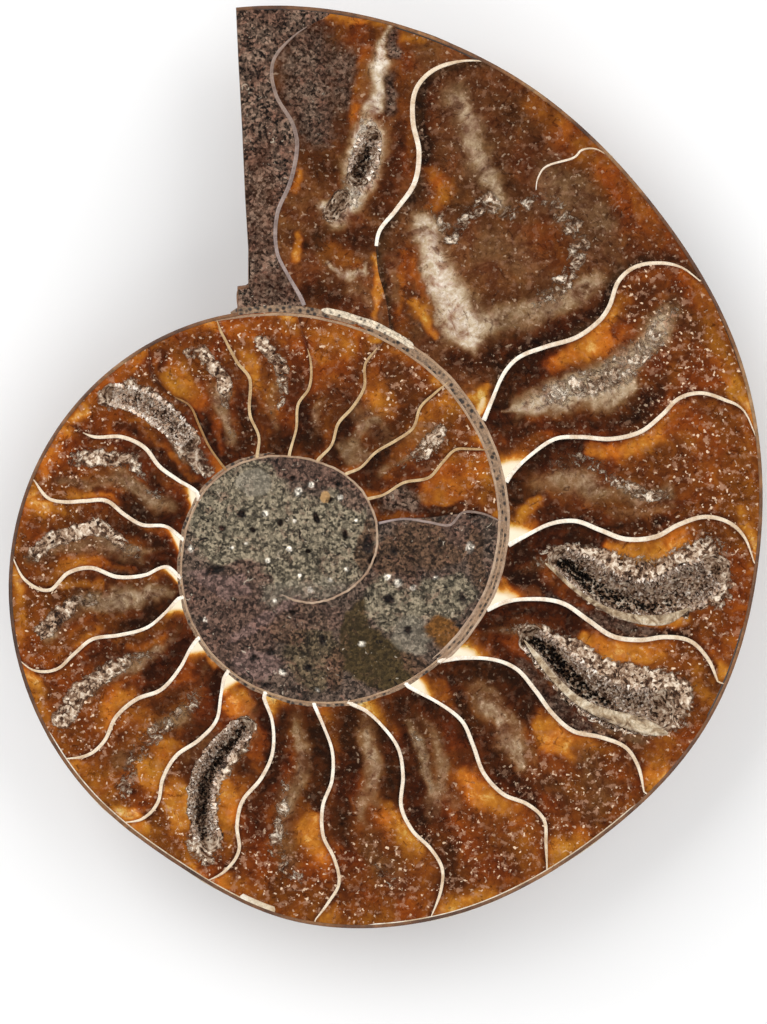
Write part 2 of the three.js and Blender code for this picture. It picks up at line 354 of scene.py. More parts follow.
def siltstone_nodes(tree, shader, base, contrast=1.0):
    """Sawn and polished siltstone over a base colour."""
    tree.links.new(stone_grain(tree, base, contrast), shader.inputs["Base Color"])
    tree.links.new(ramp(tree, noise_of(tree, 0.6 * mm), [(0.4, grey(0.3)), (0.62, grey(0.55))]),
                   shader.inputs["Roughness"])
    shader.inputs["Specular IOR Level"].default_value = 0.12
    bump(tree, shader, noise_of(tree, 0.5 * mm, 6, 0.75), 0.1 * mm, 0.7)


def sawn_material():
    """Rough sawn edge of the body chamber's siltstone filling."""
    made, tree, shader = new_material("sawn_siltstone")
    base = ramp(tree, noise_of(tree, 6 * mm, 4), [(0.38, (0.09, 0.052, 0.04)), (0.62, (0.16, 0.105, 0.08))])
    siltstone_nodes(tree, shader, base)
    return made


outline_rays = rays_of([(x * mm, y * mm) for x, y in sawn_edge], body_rays, 720)
wall_width, flank_width = umbilical_edge_at - seam_at, 1 - umbilical_edge_at
back_rows = [seam_at * i / umbilicus_rows for i in range(umbilicus_rows)]
back_rows += [seam_at + wall_width * i / umbilical_wall_rows for i in range(umbilical_wall_rows)]
back_rows += [umbilical_edge_at + flank_width * math.sin(i / flank_rows * math.pi / 2)
              for i in range(flank_rows + 1)]


def body_place(column, row):
    """Corner of the body: out along the back, over the rim, and back over the floor of the dish."""
    growth, outline = outline_rays[column]
    if row < len(back_rows):
        radius = outline * back_rows[row]
        stage = growth if radius else outline_rays[0][0]
        return on_coil(growth, radius, face_height - back_depth(radius, stage))
    row -= len(back_rows)
    if row < 2:
        return on_coil(growth, outline - row * rim_width)
    inside = (outline - rim_width) * (1 - (row - 2) / dish_rows)
    if not inside:
        return on_coil(growth, inside, face_height - dish_depth / 2)
    depth = min(dish_depth, max(thinnest_dish, back_depth(inside, growth) - dish_wall))
    return on_coil(growth, inside, face_height - depth)


body_mesh = laid_grid(len(outline_rays), len(back_rows) + 2 + dish_rows, body_place, wrap=True)
shell_body = piece_from("shell_body", body_mesh, shell_material())
shell_body.data.materials.append(sawn_material())
for polygon in shell_body.data.polygons:
    middle = polygon.center
    upright = abs(polygon.normal.z) < upright_normal
    if upright and middle.x < sawn_left_of and middle.y > sawn_above:
        polygon.material_index = 1
        polygon.use_smooth = False
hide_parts("ammonite_half")

# Septa. The walls between the chambers, first laid down as thin curved sheets of nacre: the saw cuts each one
# as a cream line. They are listed from the opening back into the coil, each from the outer wall inwards.
# The first line is the sawn edge itself, and bounds the last chamber.
septa = [
    [
        (236.6, 11), (238.6, 58), (242.4, 129), (245.5, 198), (248.5, 249), (248.6, 283.6), (238, 288),
        (237.6, 311),
    ],
    [
        (329, 15), (295, 35), (273, 62), (276, 95), (293, 125), (297, 148), (290, 183), (277, 215),
        (277, 252), (289, 277), (301, 298), (306, 310),
    ],
    [
        (497, 62), (462, 61), (432, 71), (415, 92), (413, 122), (419, 152), (414, 184), (396, 210),
        (378, 235), (378, 270), (386, 300), (390, 334),
    ],
    [
        (700, 281), (683, 268), (660, 263), (635, 267), (618, 282), (609, 307), (598, 322), (575, 338),
        (545, 347), (518, 358), (503, 375), (492, 400), (482, 424),
    ],
    [
        (757, 440), (745, 412), (725, 400), (700, 393), (678, 399), (662, 415), (640, 432), (610, 439),
        (580, 437), (555, 439), (532, 454), (513, 472), (501, 490),
    ],
    [
        (755, 565), (745, 538), (728, 522), (703, 517), (678, 525), (655, 537), (625, 539), (600, 530),
        (575, 521), (550, 524), (527, 535), (506, 547), (498, 556),
    ],
    [
        (718, 682), (708, 659), (690, 641), (665, 637), (640, 640), (612, 636), (588, 620), (562, 603),
        (535, 599), (505, 602), (479, 613),
    ],
    [
        (644, 792), (638, 766), (625, 747), (600, 737), (573, 731), (552, 713), (535, 690), (515, 668),
        (490, 659), (460, 658), (438, 661),
    ],
    [
        (547, 870), (546, 845), (544, 820), (527, 804), (503, 794), (483, 772), (473, 745), (461, 720),
        (437, 702), (408, 686),
    ],
    [
        (431, 917), (441, 890), (442, 868), (430, 848), (412, 830), (401, 805), (403, 775), (398, 748),
        (384, 728), (366, 711), (348, 702),
    ],
    [
        (315, 920), (328, 903), (339, 883), (334, 858), (323, 835), (323, 805), (332, 780), (332, 750),
        (323, 725), (314, 704),
    ],
    [
        (205, 882), (225, 871), (239, 850), (237, 825), (243, 800), (262, 777), (273, 750), (272, 720),
        (264, 698),
    ],
    [
        (118, 823), (142, 819), (158, 802), (163, 778), (177, 755), (200, 739), (217, 719), (221, 695),
        (224, 678),
    ],
    [
        (60, 759), (88, 755), (105, 740), (116, 717), (137, 699), (162, 689), (180, 668), (191, 648),
        (197, 640),
    ],
    [(14, 655), (33, 670), (57, 669), (74, 654), (93, 639), (120, 635), (148, 627), (166, 612), (178, 599)],
    [(11, 553), (25, 580), (50, 590), (68, 573), (92, 568), (118, 577), (145, 575), (167, 567), (181, 578)],
    [(34, 480), (48, 498), (65, 502), (85, 501), (107, 501), (125, 515), (143, 525), (167, 527), (184, 540)],
    [(74, 428), (95, 437), (122, 437), (145, 448), (160, 467), (178, 480), (197, 493), (199, 505)],
    [(148, 346), (152, 373), (172, 395), (190, 406), (199, 425), (210, 448), (226, 470)],
    [(221, 332), (237, 362), (250, 380), (250, 415), (259, 438), (257, 458)],
    [(296, 312), (305, 340), (311, 365), (309, 388), (298, 405), (296, 430), (289, 456)],
    [(388, 336), (374, 352), (365, 365), (364, 388), (352, 408), (338, 424), (331, 446), (318, 460)],
    [(446, 384), (434, 394), (420, 408), (413, 428), (395, 441), (375, 453), (360, 468), (346, 474)],
    [(487, 450), (470, 449), (455, 450), (442, 463), (428, 478), (403, 483), (383, 495), (368, 499)],
    [(500, 521), (480, 513), (462, 513), (450, 525), (428, 522), (402, 519), (376, 524)],
]
core_edge = [(500, 521), (480, 514.5), (462, 514), (446, 515.5), (430, 517.5), (402, 519), (374, 523)]
face_inset = rim_width * 0.6
# Growth at which the outermost whorl begins, at the middle of the last chamber, and the spacing of two septa
outermost_from, first_near, septum_spacing = 464, 810, 15


def whorl_walls(growth):
    """Radii of a whorl's inner and outer wall at a stage of growth; the outermost whorl stops at the rim."""
    outer = wall_radius(growth)
    return wall_radius(growth - 360), outer - (face_inset if growth > outermost_from else 0)


def as_growth(points, near):
    """Points as stages of growth and fractions across the whorl, sorted from the inner to the outer wall."""
    found = []
    for px, py in points:
        x, y = from_photo(px, py)
        growth = math.degrees(math.atan2(y - coil_y, x - coil_x))
        growth += 360 * round((near - growth) / 360)
        near = growth
        inner, outer = whorl_walls(growth)
        radius = math.hypot(x - coil_x, y - coil_y)
        found.append(((radius - inner) / (outer - inner), growth))
    return sorted(found)


septum_lines = []
near_growth = first_near
for points in septa + [core_edge]:
    line = as_growth(points, near_growth)
    septum_lines.append(line)
    near_growth = sum(growth for across, growth in line) / len(line) - septum_spacing


def through(points, steps):
    """Smooth curve through points, with this many steps between each two."""
    made = []
    for i in range(len(points) - 1):
        a, b = points[max(i - 1, 0)], points[i]
        c, d = points[i + 1], points[min(i + 2, len(points) - 1)]
        for k in range(steps):
            s = k / steps
            weights = (-0.5 * s + s * s - 0.5 * s ** 3, 1 - 2.5 * s * s + 1.5 * s ** 3,
                       0.5 * s + 2 * s * s - 1.5 * s ** 3, -0.5 * s * s + 0.5 * s ** 3)
            made.append(tuple(sum(w * p[n] for w, p in zip(weights, (a, b, c, d))) for n in range(len(b))))
    made.append(tuple(points[-1]))
    return made


def strip(name, points, widths, material, top=face_height, deep=0.8 * mm, crown=0.02 * mm):
    """Closed strip that follows points on the face, as wide as the widths say at each point."""
    rows = 4
    count = len(points) - 1

    def place(column, row):
        x, y = points[column]
        ahead = points[min(column + 1, count)]
        behind = points[max(column - 1, 0)]
        along = Vector((ahead[0] - behind[0], ahead[1] - behind[1])).normalized()
        share = row / rows * 2 - 1
        shift = share * widths[column] / 2
        return Vector((x - along.y * shift, y + along.x * shift, top - crown * share * share))

    mesh = laid_grid(count, rows, place)
    made = piece_from(name, mesh, material)
    thick = made.modifiers.new("depth", "SOLIDIFY")
    thick.thickness = deep
    thick.offset = -1
    return made


def nacre_material(name, light, dark):
    """Polished nacre of a septum or wall: cream with a warmer, darker grain along it."""
    made, tree, shader = new_material(name)
    tone = ramp(tree, noise_of(tree, 1.8 * mm, 5, 0.65), [(0.35, dark), (0.6, light)])
    inner_end = ramp(tree, add_node(tree, "Attribute", attribute_name="along").outputs["Fac"], [
        (0.0, grey(1)), (0.3, grey(0.6)), (0.8, grey(0))])
    tone = mixed(tree, inner_end, tone, mixed(tree, 1.0, tone, (1.25, 1.4, 1.65), "MULTIPLY"))
    grain = ramp(tree, noise_of(tree, 0.25 * mm, 3, 0.6), [(0.35, grey(0.75)), (0.6, grey(1.05))])
    tree.links.new(mixed(tree, 0.7, tone, grain, "MULTIPLY"), shader.inputs["Base Color"])
    tree.links.new(ramp(tree, noise_of(tree, 1 * mm), [(0.4, grey(0.25)), (0.6, grey(0.4))]),
                   shader.inputs["Roughness"])
    bump(tree, shader, noise_of(tree, 0.4 * mm), 0.02 * mm, 0.5)
    return made


cream_nacre = nacre_material("cream_nacre", (0.84, 0.7, 0.52), (0.6, 0.42, 0.26))
golden_nacre = nacre_material("golden_nacre", (0.55, 0.36, 0.17), (0.36, 0.2, 0.08))
grey_nacre = nacre_material("grey_nacre", (0.29, 0.2, 0.155), (0.17, 0.11, 0.085))
amber_nacre = nacre_material("amber_nacre", (0.34, 0.17, 0.05), (0.2, 0.08, 0.02))
septum_widths = [
    0, 0.46, 0.56, 0.5, 0.48, 0.52, 0.52, 0.48, 0.45, 0.42, 0.4, 0.42, 0.42, 0.44, 0.4, 0.44, 0.44, 0.46,
    0.26, 0.36, 0.32, 0.36, 0.34, 0.34, 0.28,
]
# The part of each septum that shows, from the whorl's inner wall to its outer wall, where it isn't all
septum_spans = {
    1: (0.02, 0.94), 2: (0.27, 1), 3: (0.024, 1), 4: (0.024, 1), 5: (0.024, 1), 6: (0.022, 1),
    17: (0, 0.86), 18: (0, 0.62), 20: (0, 0.75), 21: (0, 0.9), 24: (0.02, 1),
}
odd_septa = {1: grey_nacre, 18: amber_nacre, 24: grey_nacre}
first_golden = 19
septum_steps = 90
foot_reach, tip_from = 0.12, 0.9
for index in range(1, len(septa)):
    line = septum_lines[index]
    low, high = septum_spans.get(index, (0, 1))
    points = []
    widths = []
    for k in range(septum_steps + 1):
        share = k / septum_steps
        across = low + (high - low) * share
        growth = smooth_through(line, across)
        inner, outer = whorl_walls(growth)
        points.append(tuple(on_coil(growth, inner + (outer - inner) * across))[:2])
        swell = 0.8 + 0.35 * math.sin(math.pi * share) + 0.5 * max(0, foot_reach - across) / foot_reach
        widths.append(septum_widths[index] * mm * swell * (1 - 0.6 * smooth(tip_from, 1, share)))
    nacre = odd_septa.get(index, golden_nacre if index >= first_golden else cream_nacre)
    septum = strip("septum_%02d" % index, points, widths, nacre)
    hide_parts("ammonite_half")

# A loose piece of a septum lies in the second chamber
fragment_edge = [(536, 190), (538, 178), (547, 166), (573, 158), (582, 150), (596, 149), (612, 158)]
fragment_width = 0.28 * mm
fragment_line = through([from_photo(px, py) for px, py in fragment_edge], 6)
fragment_end = len(fragment_line) - 1
fragment_widths = [fragment_width * (0.3 + 0.7 * math.sin(math.pi * i / fragment_end))
                   for i in range(fragment_end + 1)]
fragment = strip("septum_fragment", fragment_line, fragment_widths, cream_nacre)
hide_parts("ammonite_half")

# Chamber fillings. Calcite that grew inwards from the walls of each chamber: brown against the septa, then
# orange bands, and last a seam of small grey-white crystals along the middle. Each filling is a slab laid
# between two septa, painted with soft values that its material turns into colour.
chamber_names = ["body_chamber"] + ["chamber_%02d" % i for i in range(1, 24)]
# Each colour is a tone from black through brown, amber and orange to cream, a share of milky haze in the
# calcite, and a share of grey siltstone
palette = {
    "black": (0.02, 0, 0), "umber": (0.2, 0, 0), "brown": (0.42, 0, 0), "amber": (0.6, 0, 0),
    "orange": (0.76, 0, 0), "gold": (0.88, 0, 0), "cream": (0.99, 0.1, 0), "plum": (0.32, 0.16, 0),
    "lavender": (0.36, 0.5, 0), "cloud": (0.5, 0.8, 0), "white": (0.8, 1, 0), "olive": (0.44, 0.36, 0),
    "bronze": (0.4, 0.2, 0), "silt": (0.3, 0, 1), "slate": (0.12, 0.05, 0.75),
}
chamber_bases = ["silt", "bronze", "plum"]
# Lines of open crystals in the photograph: place, half width and strength
seams = {
    1: [
        (368, 122, 8, 0.6), (369, 142, 15, 0.62), (362, 170, 18, 0.62), (350, 196, 15, 0.6),
        (332, 212, 12, 0.55),
    ],
    2: [
        (426, 200, 8, 0.4), (452, 236, 10, 0.6), (472, 214, 10, 0.58), (490, 202, 12, 0.76),
        (506, 212, 9, 0.56), (548, 198, 10, 0.48), (572, 225, 12, 0.6), (582, 246, 12, 0.66),
        (572, 270, 10, 0.62), (558, 288, 13, 0.68), (535, 300, 10, 0.45),
    ],
    3: [
        (530, 402, 8, 0.4), (556, 392, 15, 0.62), (592, 383, 18, 0.68), (626, 366, 18, 0.62),
        (652, 340, 17, 0.58), (668, 312, 13, 0.5),
    ],
    4: [
        (556, 460, 12, 0.42), (590, 462, 10, 0.42), (632, 492, 9, 0.7), (655, 496, 8, 0.6),
        (690, 484, 6, 0.2),
    ],
    5: [
        (530, 566, 8, 0.4), (552, 554, 10, 0.7), (580, 552, 10, 0.8), (620, 568, 16, 0.95),
        (664, 576, 18, 0.95), (702, 560, 26, 0.9), (716, 590, 22, 0.8),
    ],
    6: [
        (512, 628, 6, 0.5), (540, 630, 9, 0.7), (572, 644, 10, 0.85), (606, 668, 12, 0.95),
        (640, 680, 14, 0.95), (676, 690, 20, 0.9), (672, 716, 20, 0.8),
    ],
    7: [(580, 760, 10, 0.2), (600, 790, 12, 0.25), (590, 820, 10, 0.2)],
    8: [(408, 712, 6, 0.25), (416, 740, 7, 0.4), (430, 790, 6, 0.3), (446, 830, 8, 0.25)],
    9: [(372, 846, 8, 0.25), (384, 872, 10, 0.4), (398, 888, 8, 0.3)],
    10: [
        (286, 780, 8, 0.4), (281, 812, 10, 0.55), (276, 846, 10, 0.6), (288, 870, 10, 0.55),
        (304, 880, 8, 0.4),
    ],
    11: [
        (248, 728, 12, 0.6), (232, 748, 14, 0.9), (208, 775, 15, 1.0), (203, 815, 15, 0.9),
        (205, 850, 18, 0.75),
    ],
    12: [(200, 690, 7, 0.5), (178, 716, 10, 0.6), (142, 744, 12, 0.55), (124, 786, 12, 0.6)],
    13: [
        (145, 655, 8, 0.5), (119, 665, 10, 0.75), (96, 678, 11, 0.85), (76, 696, 12, 0.85),
        (62, 722, 11, 0.8),
    ],
    14: [(94, 598, 7, 0.6), (77, 603, 8, 0.85), (58, 615, 9, 0.95), (44, 632, 9, 0.95)],
    15: [
        (34, 552, 9, 0.75), (50, 541, 10, 0.85), (73, 533, 9, 0.95), (95, 525, 9, 0.95),
        (112, 536, 8, 0.85), (130, 552, 8, 0.6), (145, 557, 7, 0.4),
    ],
    16: [
        (72, 460, 9, 0.6), (100, 458, 10, 0.9), (131, 459, 9, 0.8), (140, 478, 7, 0.45), (160, 500, 7, 0.4),
    ],
    17: [
        (108, 398, 12, 0.95), (131, 391, 13, 1.0), (154, 406, 14, 1.0), (175, 427, 13, 1.0),
        (190, 452, 11, 0.95), (206, 470, 9, 0.7),
    ],
    18: [
        (188, 352, 6, 0.7), (204, 353, 7, 0.85), (216, 368, 7, 0.9), (225, 384, 8, 1.0), (228, 410, 5, 0.4),
        (234, 434, 5, 0.4),
    ],
    19: [
        (261, 341, 8, 0.85), (270, 352, 8, 0.9), (285, 371, 8, 0.8), (285, 388, 7, 0.6),
        (273, 410, 6, 0.45),
    ],
    21: [(400, 380, 9, 0.15), (352, 448, 10, 0.2)],
    22: [(440, 432, 9, 0.8), (425, 450, 9, 0.75), (400, 465, 9, 0.4), (370, 480, 7, 0.25)],
}
# Hollows with a crust: chamber, then place on the face, half width and depth, all in millimetres
hollows = {
    "crust_first_chamber": (1, [(-1.9, 42.6, 1.3, 2.2), (-2.6, 40.3, 1.7, 2.7), (-3.5, 37.8, 1.4, 2.4)]),
    "crust_fifth_chamber": (5, [
        (22.8, -11.9, 1.6, 2.2), (25.8, -13.8, 2.2, 3.2), (30.0, -16.6, 2.6, 3.8), (34.6, -17.3, 2.7, 3.8),
        (39.2, -15.6, 2.9, 3.2), (42.2, -13.6, 2.2, 2.4)]),
    "crust_sixth_chamber": (6, [
        (19.0, -22.3, 1.7, 2.4), (22.0, -25.2, 2.2, 3.2), (25.6, -28.6, 2.6, 3.8), (30.2, -31.2, 2.9, 3.6),
        (34.8, -31.6, 2.8, 3.0)]),
    "crust_eleventh_chamber": (11, [
        (-18.4, -33.8, 1.4, 2.0), (-21.0, -36.2, 1.5, 2.4), (-23.4, -39.8, 1.6, 2.6),
        (-23.9, -44.0, 1.7, 2.6), (-23.0, -48.2, 1.6, 2.2)]),
    "crust_seventeenth_chamber": (17, [
        (-35.4, 9.4, 1.3, 1.8), (-32.2, 8.6, 1.5, 2.2), (-28.8, 6.6, 1.6, 2.4), (-25.6, 3.4, 1.5, 2.2)]),
}
small_hollow = (1, [(-6.9, 33.0, 1.0, 1.6), (-5.7, 34.8, 1.1, 1.6)])
# Strength of the cream wedge at the inner end of each chamber's older septum, where it isn't full
wedges = {
    0: 0, 1: 0, 2: 0.2, 8: 0.7, 9: 0.25, 10: 0.7, 17: 0.5, 18: 0, 19: 0, 20: 0.2, 21: 0.3, 22: 0.4, 23: 0,
}
# Soft clouds of colour in the photograph: place, half sizes, turn in degrees, colour and strength
clouds = {
    0: [
        (262, 60, 20, 60, 0, "silt", 0.4), (262, 200, 16, 60, 0, "lavender", 0.25),
        (270, 285, 24, 18, 0, "black", 0.5),
    ],
    11: [
        (190, 872, 30, 8, -38, "gold", 0.75), (178, 806, 15, 30, 8, "cream", 0.6),
        (200, 745, 26, 12, 40, "olive", 0.6), (225, 868, 26, 14, -20, "brown", 0.7),
        (180, 850, 24, 20, 20, "amber", 0.7), (256, 745, 12, 34, 10, "amber", 0.7),
        (240, 705, 16, 16, 0, "gold", 0.8), (222, 790, 14, 26, 20, "orange", 0.75),
        (250, 722, 12, 24, 0, "cloud", 0.3), (168, 850, 20, 20, 30, "brown", 0.6),
    ],
    12: [
        (132, 822, 26, 8, -45, "gold", 0.8), (134, 722, 20, 26, 20, "amber", 0.7),
        (148, 775, 12, 24, 10, "orange", 0.8), (100, 780, 26, 14, -40, "amber", 0.8),
        (214, 655, 8, 12, 20, "gold", 0.6), (198, 700, 14, 26, 20, "brown", 0.7),
        (135, 800, 18, 12, 0, "brown", 0.5), (122, 760, 10, 12, 0, "lavender", 0.5),
        (96, 812, 26, 12, -40, "brown", 0.5),
    ],
    19: [
        (240, 330, 24, 12, 0, "amber", 0.8), (265, 385, 16, 34, 0, "orange", 0.35),
        (280, 440, 14, 20, 0, "umber", 0.8), (295, 335, 20, 14, 0, "amber", 0.5),
        (270, 360, 10, 30, -10, "plum", 0.5), (262, 425, 8, 22, 0, "brown", 0.8),
    ],
    20: [
        (335, 335, 34, 12, 0, "orange", 0.5), (330, 390, 20, 34, 15, "brown", 0.7),
        (340, 365, 16, 24, 0, "amber", 0.6), (310, 440, 14, 22, 10, "umber", 0.75),
        (345, 400, 14, 20, 15, "plum", 0.4), (352, 350, 12, 14, 0, "gold", 0.35),
    ],
    21: [
        (375, 425, 16, 40, 40, "lavender", 0.55), (352, 452, 14, 18, 40, "lavender", 0.8),
        (400, 378, 18, 22, 20, "plum", 0.6), (385, 400, 14, 18, 20, "orange", 0.5),
        (415, 360, 20, 10, -30, "amber", 0.6), (335, 462, 12, 10, 0, "umber", 0.7),
        (375, 372, 10, 20, 0, "brown", 0.6),
    ],
    22: [
        (420, 440, 30, 14, 30, "lavender", 0.5), (440, 410, 14, 14, 0, "amber", 0.7),
        (365, 485, 22, 10, 10, "umber", 0.75), (400, 452, 20, 8, 25, "amber", 0.6),
        (455, 400, 14, 12, -40, "orange", 0.6), (430, 465, 16, 8, 0, "olive", 0.6),
    ],
    23: [
        (460, 485, 34, 22, 0, "amber", 0.85), (445, 492, 26, 12, 10, "gold", 0.3),
        (400, 502, 22, 14, 0, "slate", 0.95), (390, 495, 14, 10, 0, "slate", 0.9),
        (480, 470, 14, 20, 0, "orange", 0.5), (450, 508, 40, 6, 0, "umber", 0.7),
        (480, 500, 14, 14, 0, "brown", 0.5),
    ],
}
